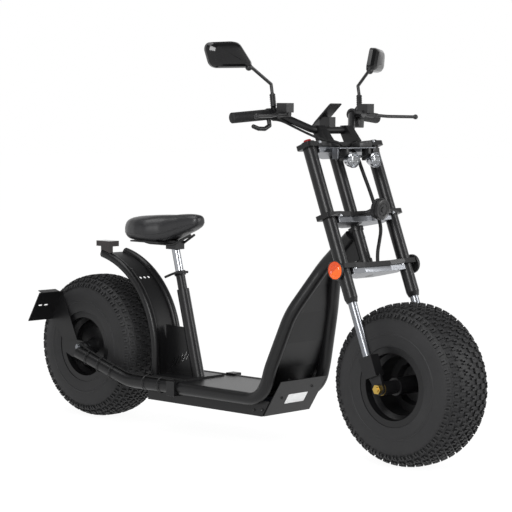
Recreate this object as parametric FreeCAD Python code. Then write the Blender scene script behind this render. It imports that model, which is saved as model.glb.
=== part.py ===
import FreeCAD
import Part
import os
from math import atan2, cos, degrees, hypot, radians, sin, tan

# Fat-tyre electric scooter, in millimetres, as separate named pieces.
#
# Design frame: X forward, Y to the rider's left, Z up, with its origin on the floor below the
# rear axle. When a piece is written it is moved back by half the wheelbase, so the finished part
# stands on its own origin, at the middle of its footprint.

# Driving dimensions: wheels and tyres
WHEELBASE = 1338.0
TYRE_RADIUS = 241.3
TYRE_HALF_WIDTH = 93.0
LUG_HEIGHT = 4.5
LUG_WIDTH = 17.0
LUG_LENGTH = 22.0
LUGS_ROUND = 22
RIM_FLANGE_RADIUS = 118.0
RIM_SEAT_RADIUS = 103.0
RIM_WELL_RADIUS = 90.0
RIM_HALF_WIDTH = TYRE_HALF_WIDTH - 7.0
RIM_WALL = 4.0
FRONT_AXLE_RADIUS = 8.0
REAR_AXLE_RADIUS = 8.0
RUNNING_GAP = 0.05
SEAT_GAP = 0.3
BRAKE_DISC_RADIUS = 80.0
BRAKE_DISC_WALL = 3.0

# Driving dimensions: rear hoop, which the deck and the seat stand ahead of
HOOP_RADIUS = 320.0
HOOP_CENTRE_X = -10.0
HOOP_CENTRE_Z = 246.0
HOOP_TUBE_RADIUS = 14.0
HOOP_HALF_SPACING = 51.0
HOOP_TOP_ANGLE = 78.0
FENDER_WALL = 2.0

# Driving dimensions: frame
TUBE_RADIUS = 20.0
TUBE_TYRE_GAP = 14.0
TUBE_HALF_SPACING = TYRE_HALF_WIDTH + TUBE_TYRE_GAP + TUBE_RADIUS
DECK_TUBE_Z = 155.0
BEND_RADIUS = 85.0
STAY_BEND_RADIUS = 200.0
FRONT_BEND_X = WHEELBASE - 470.0
DECK_WALL = 4.0
DECK_TOP_Z = 172.0
DECK_STEP = 6.0
DECK_REAR_X = HOOP_CENTRE_X + HOOP_RADIUS + 20.0
DECK_JOINT_X = DECK_REAR_X + 170.0
DECK_FRONT_X = FRONT_BEND_X - 56.0
BOX_HALF_WIDTH = TUBE_HALF_SPACING - 17.0
BOX_BOTTOM_Z = 101.0
BOX_REAR_X = DECK_REAR_X + 7.0
BOX_FRONT_X = FRONT_BEND_X - 19.0
BOX_WALL = 2.5
COVER_TOP = (FRONT_BEND_X + 53.0, 215.0)
COVER_HALF_WIDTH = TUBE_HALF_SPACING - 21.0
COVER_WALL = 3.0
PANEL_WALL = 2.5

# Driving dimensions: steering
RAKE = 21.07
FORK_HALF_SPACING = TYRE_HALF_WIDTH + 50.4
FORK_SETBACK = 10.7
HEAD_SETBACK = 30.0
FORK_TUBE_RADIUS = 20.0
STANCHION_RADIUS = 13.0
FORK_TUBE_LOW = 274.0
FORK_TUBE_HIGH = 756.0
STANCHION_LOW = 62.0
YOKE_HEIGHTS = (367.0, 525.0, 744.0)
YOKE_THICKNESS = 15.0
YOKE_PLATE_WALL = 17.0
HEAD_TUBE_RADIUS = 20.0
STEM_RADIUS = 13.0
UPPER_STEM_RADIUS = 19.0
BAR_RADIUS = 11.0
GRIP_RADIUS = 16.0

# Driving dimensions: seat
SEAT_FOOT = (DECK_REAR_X + 127.0, DECK_TOP_Z + 15.0)
SEAT_LEAN = 14.7
SEAT_TUBE_RADIUS = 20.0
SEAT_TUBE_LENGTH = 279.0
SEAT_SLEEVE_RADIUS = 15.0
SEAT_SLEEVE_LENGTH = 52.0
SEAT_POST_RADIUS = 13.6
SADDLE_BASE_Z = 606.0

# Driving dimensions: stand and number plate bracket
STAND_PIVOT = (-60.0, TUBE_HALF_SPACING + 38.0, 200.0)
STAND_FOOT = (-98.0, TUBE_HALF_SPACING + 88.0)
STAND_ROD_RADIUS = 8.0
PLATE_WIDTH = 100.0
PLATE_SLOT_LENGTH = 17.0
PLATE_SLOT_WIDTH = 7.0
PLATE_SLOT_SPACING = 25.0
PLATE_SLOT_PLACE = (62.0, 0.545)

# Worked out from the dimensions above
AXLE_Z = TYRE_RADIUS
REAR_AXLE = (0.0, AXLE_Z)
FRONT_AXLE = (WHEELBASE, AXLE_Z)
ROW_SHIFT = WHEELBASE / 2
AXIS_X = -sin(radians(RAKE))
AXIS_Z = cos(radians(RAKE))
FORK_FOOT = (WHEELBASE - FORK_SETBACK, AXLE_Z)
CROWN_RADIUS = TYRE_RADIUS - LUG_HEIGHT


# Basic shapes
def vec(x, y, z):
    return FreeCAD.Vector(x, y, z)


def steer_point(height, y, forward=0.0):
    """Point in the fork plane: height along the legs from axle level, forward of the legs."""
    x = FORK_FOOT[0] + AXIS_X * height + AXIS_Z * forward
    z = FORK_FOOT[1] + AXIS_Z * height - AXIS_X * forward
    return vec(x, y, z)


def rod(start, end, radius):
    """Round solid bar between two points."""
    run = end - start
    return Part.makeCylinder(radius, run.Length, start, run)


def hollow(start, end, radius, bore):
    """Round tube between two points."""
    return rod(start, end, radius).cut(rod(start, end, bore))


def block(x0, x1, y0, y1, z0, z1):
    """Box between two corners."""
    return Part.makeBox(x1 - x0, y1 - y0, z1 - z0, vec(x0, y0, z0))


def polygon_face(points):
    """Flat face with straight edges through the points."""
    return Part.Face(Part.makePolygon(points + points[:1]))


def side_plate(outline, y0, y1):
    """Plate whose side-view outline is a list of (x, z), from y0 to y1."""
    face = polygon_face([vec(x, y0, z) for x, z in outline])
    return face.extrude(vec(0, y1 - y0, 0))


def top_plate(outline, z0, z1):
    """Plate whose outline seen from above is a list of (x, y), from z0 to z1."""
    face = polygon_face([vec(x, y, z0) for x, y in outline])
    return face.extrude(vec(0, 0, z1 - z0))


def tilted(shape, height, forward=0.0):
    """Move a piece drawn at the origin, upright, to the fork plane and lean it with the rake."""
    moved = shape.copy()
    moved.rotate(vec(0, 0, 0), vec(0, 1, 0), -RAKE)
    moved.translate(steer_point(height, 0, forward))
    return moved


def across(shape):
    """The same piece on the other side of the scooter."""
    return shape.mirror(vec(0, 0, 0), vec(0, 1, 0))


def spun(outline, axle):
    """Solid of revolution about a wheel axle from (y, radius) points."""
    x, z = axle
    face = polygon_face([vec(x, y, z + r) for y, r in outline])
    return face.revolve(vec(x, 0, z), vec(0, 1, 0), 360)


def route(points, radii):
    """Wire of straight runs joined by tangent arcs, one radius for each inner point."""
    edges = []
    start = points[0]
    for before, corner, after, radius in zip(points, points[1:], points[2:], radii):
        back = (before - corner).normalize()
        ahead = (after - corner).normalize()
        half = back.getAngle(ahead) / 2
        reach = radius / tan(half)
        bisector = (back + ahead).normalize()
        middle = corner + bisector * (radius / sin(half) - radius)
        first = corner + back * reach
        last = corner + ahead * reach
        edges.append(Part.LineSegment(start, first).toShape())
        edges.append(Part.Arc(first, middle, last).toShape())
        start = last
    edges.append(Part.LineSegment(start, points[-1]).toShape())
    return Part.Wire(edges)


def bent_bar(points, radii, radius):
    """Round bar or hose along a route."""
    path = route(points, radii)
    ring = Part.Wire(Part.Circle(points[0], points[1] - points[0], radius).toShape())
    return path.makePipeShell([ring], True, False)


# Wheels
# Bands of the carcass, crown to bead: (place across as a share of half the width, drop below the crown)
CARCASS_BANDS = (
    (0.28, 0.0),
    (0.56, 4.5),
    (0.84, 20.0),
    (1.00, 60.0),
    (0.99, 91.0),
)


def tyre(axle):
    """Balloon tyre with square lugs in staggered rows."""
    bead = RIM_HALF_WIDTH - RIM_WALL - SEAT_GAP
    edge = RIM_FLANGE_RADIUS + SEAT_GAP
    seat = RIM_SEAT_RADIUS + SEAT_GAP
    side = [(share * TYRE_HALF_WIDTH, CROWN_RADIUS - drop) for share, drop in CARCASS_BANDS]
    side += [(bead + RIM_WALL, edge), (bead, edge), (bead, seat)]
    carcass = spun([(-y, r) for y, r in reversed(side)] + side, axle)
    return carcass.fuse(tyre_lugs(axle))


# Rows of lugs: (place across as a share of half the width, drop below the crown, lean in degrees)
LUG_ROWS = (
    (0.13, 0.0, 0.0),
    (0.42, 2.2, 9.8),
    (0.70, 12.0, 30.8),
)


def tyre_lugs(axle):
    """Square lugs, each row turned by half a pitch against the next."""
    x, z = axle
    lugs = []
    depth = LUG_HEIGHT + 3.0
    pitch = 360.0 / LUGS_ROUND
    for row, (share, drop, lean) in enumerate(LUG_ROWS):
        for side in (1, -1):
            lug = Part.makeBox(LUG_LENGTH, LUG_WIDTH, depth, vec(-LUG_LENGTH / 2, -LUG_WIDTH / 2, -depth))
            lug.rotate(vec(0, 0, 0), vec(1, 0, 0), -side * lean)
            lug.translate(vec(0, side * share * TYRE_HALF_WIDTH, TYRE_RADIUS - drop))
            offset = 0.5 if (row + (side < 0)) % 2 else 0.0
            for step in range(LUGS_ROUND):
                copy = lug.copy()
                copy.rotate(vec(0, 0, 0), vec(0, 1, 0), (step + offset) * pitch)
                copy.translate(vec(x, 0, z))
                lugs.append(copy)
    return lugs


def rim_outline():
    """Section of a rolled rim: flanges, bead seats and the well, as (y, radius)."""
    w = RIM_HALF_WIDTH
    t = RIM_WALL
    outer = [(w, RIM_FLANGE_RADIUS), (w - t, RIM_FLANGE_RADIUS), (w - t, RIM_SEAT_RADIUS),
             (0.68 * w, RIM_SEAT_RADIUS - 1.0), (0.52 * w, RIM_WELL_RADIUS)]
    inner = [(0.55 * w, RIM_WELL_RADIUS - t), (0.71 * w, RIM_SEAT_RADIUS - 1.0 - t), (w, RIM_SEAT_RADIUS - t)]
    right = [(-y, r) for y, r in outer]
    back = [(-y, r) for y, r in reversed(inner)]
    return right + outer[::-1] + inner[::-1] + back[::-1]


FRONT_BRAKE_Y = FORK_HALF_SPACING - 39.4
REAR_BRAKE_Y = TUBE_HALF_SPACING - 47.0
FRONT_DISC_FACE_Y = 34.0
FRONT_HUB_RADIUS = 26.0
FRONT_HUB_HALF = FRONT_BRAKE_Y - 32.0


def front_rim():
    """Deep-dished rim: its wheel disc stands towards the brake side of the hub."""
    rim = spun(rim_outline(), FRONT_AXLE)
    web = 5.0
    y = FRONT_DISC_FACE_Y
    dish = [(y - 18, 66), (y - 18, 64), (y, 56), (y, FRONT_HUB_RADIUS), (-FRONT_HUB_HALF, FRONT_HUB_RADIUS),
            (-FRONT_HUB_HALF, FRONT_AXLE_RADIUS + RUNNING_GAP), (FRONT_HUB_HALF, FRONT_AXLE_RADIUS + RUNNING_GAP),
            (FRONT_HUB_HALF, FRONT_HUB_RADIUS), (y + web, FRONT_HUB_RADIUS), (y + web, 58), (y - 12, 68),
            (y - 12, RIM_WELL_RADIUS - 1), (y - 18, RIM_WELL_RADIUS - 1)]
    return rim.fuse(spun(dish, FRONT_AXLE))


MOTOR_HALF_WIDTH = 43.0
MOTOR_COVER_RADIUS = 65.0
MOTOR_BOSS_RADIUS = 17.0
MOTOR_BOSS_HALF = REAR_BRAKE_Y - 10.0


def rear_rim():
    return spun(rim_outline(), REAR_AXLE)


def hub_motor():
    """Hub motor filling the rim's well, with stepped covers and bosses round the axle."""
    well = RIM_WELL_RADIUS - RIM_WALL - SEAT_GAP
    bore = REAR_AXLE_RADIUS + RUNNING_GAP
    right = [(-MOTOR_BOSS_HALF, bore), (-MOTOR_BOSS_HALF, MOTOR_BOSS_RADIUS), (-MOTOR_HALF_WIDTH - 8, 24),
             (-MOTOR_HALF_WIDTH, 28), (-MOTOR_HALF_WIDTH, MOTOR_COVER_RADIUS),
             (-MOTOR_HALF_WIDTH + 6, MOTOR_COVER_RADIUS), (-MOTOR_HALF_WIDTH + 10, well)]
    left = [(-y, r) for y, r in reversed(right)]
    return spun(right + left, REAR_AXLE)


def brake_disc(axle, y, hub):
    """Brake disc with round lightening holes, on a thin carrier."""
    x, z = axle
    t = BRAKE_DISC_WALL
    disc = spun([(y - t / 2, hub), (y + t / 2, hub), (y + t / 2, BRAKE_DISC_RADIUS), (y - t / 2, BRAKE_DISC_RADIUS)], axle)
    holes = []
    for step in range(8):
        a = radians(45 * step)
        c = vec(x + 48 * cos(a), y - t, z + 48 * sin(a))
        holes.append(Part.makeCylinder(10, 2 * t, c, vec(0, 1, 0)))
    return disc.cut(Part.Compound(holes))


def front_brake_disc():
    disc = brake_disc(FRONT_AXLE, FRONT_BRAKE_Y, FRONT_AXLE_RADIUS + 6)
    hub = spun([(FRONT_HUB_HALF, FRONT_AXLE_RADIUS + 2), (FRONT_BRAKE_Y + 2, FRONT_AXLE_RADIUS + 2),
                (FRONT_BRAKE_Y + 2, 22), (FRONT_HUB_HALF, 24)], FRONT_AXLE)
    return disc.fuse(hub)


def rear_brake_disc():
    disc = brake_disc(REAR_AXLE, REAR_BRAKE_Y, MOTOR_BOSS_RADIUS + 2)
    inner = MOTOR_HALF_WIDTH + SEAT_GAP
    hub = spun([(inner, 30), (REAR_BRAKE_Y, 30), (REAR_BRAKE_Y, 34), (inner, 34)], REAR_AXLE)
    return disc.fuse(hub)


# Frame
# Main tube on the left: place of each bend and its radius
MAIN_TUBE = (
    ((FRONT_BEND_X + 254, 20, 668), None),
    ((FRONT_BEND_X + 154, 27, 572), 120),
    ((FRONT_BEND_X + 80, TUBE_HALF_SPACING - 31, 424), 260),
    ((FRONT_BEND_X + 25, TUBE_HALF_SPACING, 250), 260),
    ((FRONT_BEND_X, TUBE_HALF_SPACING, DECK_TUBE_Z), BEND_RADIUS),
    ((DECK_REAR_X - 68, TUBE_HALF_SPACING, DECK_TUBE_Z), STAY_BEND_RADIUS),
    ((16, TUBE_HALF_SPACING, AXLE_Z - 15.3), None),
)


def head_end(height):
    return steer_point(height, 0, -HEAD_SETBACK)


GUSSET_HALF_SPACING = 23.0
BEARING_LENGTH = 12.0
HEAD_LOW = YOKE_HEIGHTS[0] + YOKE_THICKNESS / 2 + 6
HEAD_HIGH = YOKE_HEIGHTS[1] - YOKE_THICKNESS / 2 - YOKE_PLATE_WALL - 6


def frame_tube():
    """Left main tube, from the head down round the deck and back to the rear axle."""
    points = [vec(*place) for place, _ in MAIN_TUBE]
    radii = [radius for _, radius in MAIN_TUBE[1:-1]]
    tube = bent_bar(points, radii, TUBE_RADIUS)
    tube = tube.cut(rod(head_end(HEAD_LOW - 60), head_end(HEAD_HIGH + 60), HEAD_TUBE_RADIUS))
    middle = block(FRONT_BEND_X + 32, FRONT_BEND_X + 332, -60, 1.0, 500, 760)
    return max(tube.cut(middle).Solids, key=lambda s: s.Volume)


def head_tube(tubes):
    """Head tube with a bearing cup at each end and gusset plates down to the main tubes."""
    low = head_end(HEAD_LOW)
    high = head_end(HEAD_HIGH)
    up = (high - low).normalize()
    shell = rod(low, high, HEAD_TUBE_RADIUS)
    for end, way in ((low, 1), (high, -1)):
        shell = shell.fuse(rod(end, end + up * (BEARING_LENGTH * way), HEAD_TUBE_RADIUS + 3))
    corners = [low + up * 14, high - up * 8, vec(FRONT_BEND_X + 172, 0, 642), vec(FRONT_BEND_X + 142, 0, 575),
               vec(FRONT_BEND_X + 192, 0, 560)]
    outline = [(p.x, p.z) for p in corners]
    gussets = side_plate(outline, -GUSSET_HALF_SPACING, GUSSET_HALF_SPACING)
    gussets = gussets.cut(side_plate(outline, 6 - GUSSET_HALF_SPACING, GUSSET_HALF_SPACING - 6))
    shell = shell.fuse(gussets).cut(rod(low + up * BEARING_LENGTH, high - up * BEARING_LENGTH, STEM_RADIUS + 4))
    shell = shell.cut(rod(low - up, high + up, STEM_RADIUS + RUNNING_GAP)).cut(tubes)
    return max(shell.Solids, key=lambda s: s.Volume)


def dropout():
    """Left rear plate that the axle is clamped in."""
    outline = [(60, 196), (62, 232), (20, 262), (-18, 264), (-84, 250), (-84, 222), (-40, 205)]
    outer = TUBE_HALF_SPACING - TUBE_RADIUS
    plate = side_plate(outline, outer - 8, outer)
    x, z = REAR_AXLE
    return plate.cut(rod(vec(x, outer - 20, z), vec(x, outer + 20, z), REAR_AXLE_RADIUS))


def rear_axle():
    """Rear axle with a flange nut at each end."""
    x, z = REAR_AXLE
    plate = TUBE_HALF_SPACING - TUBE_RADIUS
    shaft = rod(vec(x, -plate - 14, z), vec(x, plate + 14, z), REAR_AXLE_RADIUS)
    nuts = []
    for side in (1, -1):
        nuts.append(hex_bar(vec(x, side * plate, z), vec(x, side * (plate + 10), z), NUT_RADIUS - 2))
        nuts.append(hex_bar(vec(x, side * (plate - 8), z), vec(x, side * (plate - 18), z), NUT_RADIUS - 2))
    return shaft.fuse(nuts)


def cross_members():
    """Three bars that join the main tubes below the deck."""
    bars = []
    inner = TUBE_HALF_SPACING - TUBE_RADIUS
    top = DECK_TOP_Z - DECK_WALL
    for x in (DECK_REAR_X - 38, DECK_JOINT_X + 20, DECK_FRONT_X - 16):
        bars.append(block(x - 12, x + 12, -inner - 8, inner + 8, top - 12, top))
    return bars


def battery_block():
    half = BOX_HALF_WIDTH - 18
    return block(BOX_REAR_X + 20, BOX_FRONT_X - 40, -half, half, BOX_BOTTOM_Z + BOX_WALL, DECK_TUBE_Z - 5)


COVER_RUN = (COVER_TOP[0] - BOX_FRONT_X, COVER_TOP[1] - BOX_BOTTOM_Z)


def battery_box(tubes):
    """Tray hung below the tubes, open at the top, with a slanted front edge."""
    top = DECK_TUBE_Z - 4
    lean = COVER_RUN[0] / COVER_RUN[1]
    t = BOX_WALL
    rise = top - BOX_BOTTOM_Z
    outer = [(BOX_REAR_X, BOX_BOTTOM_Z), (BOX_FRONT_X - 4, BOX_BOTTOM_Z), (BOX_FRONT_X - 4 + lean * rise, top),
             (BOX_REAR_X, top)]
    inner = [(BOX_REAR_X + t, BOX_BOTTOM_Z + t), (BOX_FRONT_X - 4 - t, BOX_BOTTOM_Z + t),
             (BOX_FRONT_X - 4 - t + lean * rise, top + 1), (BOX_REAR_X + t, top + 1)]
    tray = side_plate(outer, -BOX_HALF_WIDTH, BOX_HALF_WIDTH)
    tray = tray.cut(side_plate(inner, -BOX_HALF_WIDTH + t, BOX_HALF_WIDTH - t)).cut(tubes)
    return max(tray.Solids, key=lambda s: s.Volume)


def box_front_cover():
    """Slanted plate in front of the tube bends, closing the box."""
    length = hypot(*COVER_RUN)
    nx = COVER_RUN[1] / length * COVER_WALL
    nz = -COVER_RUN[0] / length * COVER_WALL
    low = (BOX_FRONT_X, BOX_BOTTOM_Z)
    outline = [low, COVER_TOP, (COVER_TOP[0] - nx, COVER_TOP[1] - nz), (low[0] - nx, low[1] - nz)]
    return side_plate(outline, -COVER_HALF_WIDTH, COVER_HALF_WIDTH)


# Side view of the panel between the rising tubes: (place ahead of the tubes' front bend, z)
PANEL_SIDE = (
    (-56, DECK_TOP_Z - 2), (-30, 180), (12, 250), (49, 330), (80, 424), (117, 510), (154, 572), (172, 590),
)


def legshield(others):
    """Panel between the rising tubes, following them from the deck to below the head."""
    face = [(FRONT_BEND_X + ahead, z) for ahead, z in PANEL_SIDE]
    band = face + [(x - PANEL_WALL, z + 1.0) for x, z in reversed(face)]
    sheet = side_plate(band, -TUBE_HALF_SPACING, TUBE_HALF_SPACING)
    outline = [(TUBE_HALF_SPACING, 130), (TUBE_HALF_SPACING, 250), (TUBE_HALF_SPACING - 31, 424), (27, 572), (24, 600)]
    start = FRONT_BEND_X - 168
    whole = [vec(start, y, z) for y, z in outline] + [vec(start, -y, z) for y, z in reversed(outline)]
    sheet = sheet.common(polygon_face(whole).extrude(vec(500, 0, 0)))
    sheet = sheet.cut(others)
    return max(sheet.Solids, key=lambda s: s.Volume)


def deck_plate(x0, x1, top, tubes):
    """Flat deck plate that fills the space between the tubes."""
    w = TUBE_HALF_SPACING
    plate = block(x0, x1, -w, w, top - DECK_WALL, top).cut(tubes)
    return max(plate.Solids, key=lambda s: s.Volume)


def rear_deck(tubes):
    """Rear deck: a pressed tray raised above the front plate, with sloping flanks."""
    w = TUBE_HALF_SPACING - 22
    low = DECK_TOP_Z
    high = DECK_TOP_Z + DECK_STEP
    base = [(DECK_REAR_X, -w), (DECK_JOINT_X, -w), (DECK_JOINT_X, w), (DECK_REAR_X, w)]
    plate = top_plate(base, low - DECK_WALL, low)
    cap = top_plate([(DECK_REAR_X + 4, -w + 14), (DECK_JOINT_X - 10, -w + 14), (DECK_JOINT_X - 10, w - 14),
                     (DECK_REAR_X + 4, w - 14)], low, high)
    cap = cap.makeChamfer(DECK_STEP * 0.8, [e for e in cap.Edges if e.BoundBox.ZMin > high - 0.1])
    return plate.fuse(cap).cut(tubes)


def tube_clamps():
    """Bolted clamp block on each deck tube."""
    x = DECK_JOINT_X - 14
    outer = block(x - 18, x + 18, TUBE_HALF_SPACING - 8, TUBE_HALF_SPACING + TUBE_RADIUS + 8,
                  DECK_TUBE_Z - TUBE_RADIUS - 4, DECK_TUBE_Z + TUBE_RADIUS + 4)
    bore = rod(vec(x - 20, TUBE_HALF_SPACING, DECK_TUBE_Z), vec(x + 20, TUBE_HALF_SPACING, DECK_TUBE_Z), TUBE_RADIUS)
    left = max(outer.cut(bore).Solids, key=lambda s: s.Volume)
    return [left, across(left)]


# Seat
def seat_point(length, y=0.0, forward=0.0):
    lean = radians(SEAT_LEAN)
    return vec(SEAT_FOOT[0] - sin(lean) * length + cos(lean) * forward, y,
               SEAT_FOOT[1] + cos(lean) * length + sin(lean) * forward)


COLLAR_LOW = SEAT_TUBE_LENGTH + SEAT_SLEEVE_LENGTH - 6
COLLAR_HIGH = SEAT_TUBE_LENGTH + SEAT_SLEEVE_LENGTH + 8
POST_TOP = (SADDLE_BASE_Z - SEAT_FOOT[1]) / cos(radians(SEAT_LEAN)) - 12


def seat_tube():
    """Leaning seat tube, stepped down to a sleeve for the post."""
    deck = DECK_TOP_Z + DECK_STEP
    bore = SEAT_POST_RADIUS + RUNNING_GAP
    tube = rod(seat_point(-20), seat_point(SEAT_TUBE_LENGTH), SEAT_TUBE_RADIUS)
    tube = tube.fuse(rod(seat_point(SEAT_TUBE_LENGTH), seat_point(SEAT_TUBE_LENGTH + SEAT_SLEEVE_LENGTH), SEAT_SLEEVE_RADIUS))
    tube = tube.cut(rod(seat_point(100), seat_point(SEAT_TUBE_LENGTH + SEAT_SLEEVE_LENGTH + 1), bore))
    return tube.cut(block(SEAT_FOOT[0] - 150, SEAT_FOOT[0] + 150, -60, 60, deck - 80, deck))


def seat_collar():
    """Clamp collar round the sleeve with its quick-release lever."""
    ring = hollow(seat_point(COLLAR_LOW), seat_point(COLLAR_HIGH), SEAT_SLEEVE_RADIUS + 4, SEAT_SLEEVE_RADIUS)
    top = hollow(seat_point(SEAT_TUBE_LENGTH + SEAT_SLEEVE_LENGTH), seat_point(COLLAR_HIGH),
                 SEAT_SLEEVE_RADIUS + 4, SEAT_POST_RADIUS + RUNNING_GAP)
    middle = (COLLAR_LOW + COLLAR_HIGH) / 2
    ear = rod(seat_point(middle, -22, 4), seat_point(middle, -22, 26), 6)
    bolt = rod(seat_point(middle, -24, 15), seat_point(middle, 20, 15), 4)
    lever = bent_bar([seat_point(middle, -24, 17), seat_point(middle, -34, 2), seat_point(middle - 4, -37, -34)], [12], 4)
    body = ring.fuse([top, ear, bolt, lever])
    return body.cut(rod(seat_point(COLLAR_LOW - 1), seat_point(SEAT_TUBE_LENGTH + SEAT_SLEEVE_LENGTH), SEAT_SLEEVE_RADIUS)) \
        .cut(rod(seat_point(COLLAR_LOW), seat_point(COLLAR_HIGH + 1), SEAT_POST_RADIUS + RUNNING_GAP))


def seat_post():
    return rod(seat_point(170), seat_point(POST_TOP), SEAT_POST_RADIUS)


def saddle_base(pad):
    """Clamp, moulded pan and rails under the saddle's padding."""
    top = seat_point(POST_TOP)
    rear = SEAT_FOOT[0] - 261
    z = SADDLE_BASE_Z
    clamp = block(top.x - 24, top.x + 22, -20, 20, top.z - 8, top.z + 20)
    clamp = clamp.cut(rod(seat_point(170), seat_point(POST_TOP), SEAT_POST_RADIUS))
    pan = block(rear, rear + 134, -58, 58, z, z + 5)
    rails = []
    for side in (1, -1):
        rails.append(bent_bar([vec(rear, side * 30, z + 8), vec(rear + 54, side * 22, z - 4),
                               vec(rear + 164, side * 22, z - 4), vec(rear + 234, side * 8, z + 30)], [60, 60], 4))
    base = clamp.fuse([pan] + rails).cut(pad)
    return max(base.Solids, key=lambda s: s.Volume)


# Saddle sections: (place ahead of the seat tube's foot, half width, then the heights of the
# underside, shoulder and crown above the saddle's base)
SADDLE_SECTIONS = (
    (-335, 40, 28, 46, 54),
    (-307, 92, 12, 54, 74),
    (-242, 112, 5.3, 58, 80),
    (-157, 92, 5.3, 62, 82),
    (-107, 55, 18, 70, 88),
    (-37, 30, 34, 76, 96),
    (13, 18, 58, 84, 96),
)


def saddle():
    """Wide cruiser saddle: a loft through sections that narrow to the nose."""
    wires = []
    for ahead, half, low, shoulder, crown in SADDLE_SECTIONS:
        inner = half * 0.72
        corners = [(-inner, low), (-half, (low + shoulder) / 2), (-inner, shoulder), (0, crown), (inner, shoulder),
                   (half, (low + shoulder) / 2), (inner, low)]
        points = [vec(SEAT_FOOT[0] + ahead, y, SADDLE_BASE_Z + rise) for y, rise in corners]
        wires.append(Part.makePolygon(points + points[:1]))
    return Part.makeLoft(wires, True, True)


# Rear hoop and fender
def hoop_at(angle, y, radius=HOOP_RADIUS):
    a = radians(angle)
    return vec(HOOP_CENTRE_X + radius * cos(a), y, HOOP_CENTRE_Z + radius * sin(a))


def hoop_tube():
    """Left hoop tube, up from the deck and over the wheel."""
    y = HOOP_HALF_SPACING
    foot = vec(HOOP_CENTRE_X + HOOP_RADIUS, y, DECK_TOP_Z - 20)
    start = hoop_at(0, y)
    arc = Part.Arc(start, hoop_at(HOOP_TOP_ANGLE / 2, y), hoop_at(HOOP_TOP_ANGLE, y)).toShape()
    path = Part.Wire([Part.LineSegment(foot, start).toShape(), arc])
    ring = Part.Wire(Part.Circle(foot, start - foot, HOOP_TUBE_RADIUS).toShape())
    tube = path.makePipeShell([ring], True, False)
    return tube.cut(block(foot.x - 60, foot.x + 60, y - 60, y + 60, DECK_TOP_Z - 60, DECK_TOP_Z))


def fender(tubes):
    """Bent sheet between the hoop tubes with three round holes."""
    outer = Part.makeCylinder(HOOP_RADIUS + FENDER_WALL / 2, 2 * HOOP_HALF_SPACING,
                              vec(HOOP_CENTRE_X, -HOOP_HALF_SPACING, HOOP_CENTRE_Z), vec(0, 1, 0))
    inner = Part.makeCylinder(HOOP_RADIUS - FENDER_WALL / 2, 2 * HOOP_HALF_SPACING,
                              vec(HOOP_CENTRE_X, -HOOP_HALF_SPACING, HOOP_CENTRE_Z), vec(0, 1, 0))
    reach = 2 * HOOP_RADIUS
    top = radians(HOOP_TOP_ANGLE)
    sector = side_plate([(HOOP_CENTRE_X, HOOP_CENTRE_Z), (HOOP_CENTRE_X + reach, HOOP_CENTRE_Z),
                         (HOOP_CENTRE_X + reach, HOOP_CENTRE_Z + reach),
                         (HOOP_CENTRE_X + reach * cos(top), HOOP_CENTRE_Z + reach * sin(top))],
                        -HOOP_HALF_SPACING, HOOP_HALF_SPACING)
    sheet = outer.cut(inner).common(sector)
    x = HOOP_CENTRE_X + HOOP_RADIUS
    sheet = sheet.fuse(block(x - FENDER_WALL / 2, x + FENDER_WALL / 2, -HOOP_HALF_SPACING, HOOP_HALF_SPACING,
                             DECK_TOP_Z, HOOP_CENTRE_Z))
    for y in (-18, 0, 18):
        sheet = sheet.cut(rod(hoop_at(48, y, HOOP_RADIUS - 30), hoop_at(48, y, HOOP_RADIUS + 30), 5))
    sheet = sheet.cut(tubes)
    return max(sheet.Solids, key=lambda s: s.Volume)


def seat_gusset(others):
    """Triangular plate with slanted vent slots between the fender and the seat tube."""
    deck = DECK_TOP_Z + DECK_STEP
    x0 = HOOP_CENTRE_X + HOOP_RADIUS
    foot = seat_point(-4)
    high = seat_point(150)
    plate = side_plate([(x0, deck), (foot.x, deck), (high.x, high.z), (x0, HOOP_CENTRE_Z + 89)], -2, 2)
    for step in range(5):
        x = x0 + 22 + 17 * step
        z = deck + 16 + 8 * step
        slot = side_plate([(x, z), (x + 4, z), (x + 24, z + 34), (x + 20, z + 34)], -5, 5)
        plate = plate.cut(slot)
    plate = plate.cut(others)
    return max(plate.Solids, key=lambda s: s.Volume)


def tail_lamp(hoops):
    """Small rear lamp on a foot at the end of the right hoop tube."""
    z = HOOP_CENTRE_Z + HOOP_RADIUS + HOOP_TUBE_RADIUS
    x = hoop_at(HOOP_TOP_ANGLE, 0).x
    y = -HOOP_HALF_SPACING
    foot = block(x - 4.5, x + 39.5, y - 7, y + 7, z - 24, z + 4)
    lamp = block(x - 18.5, x + 47.5, y - 15, y + 27, z + 4, z + 22)
    whole = lamp.fuse(foot).cut(hoops)
    return max(whole.Solids, key=lambda s: s.Volume)


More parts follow.
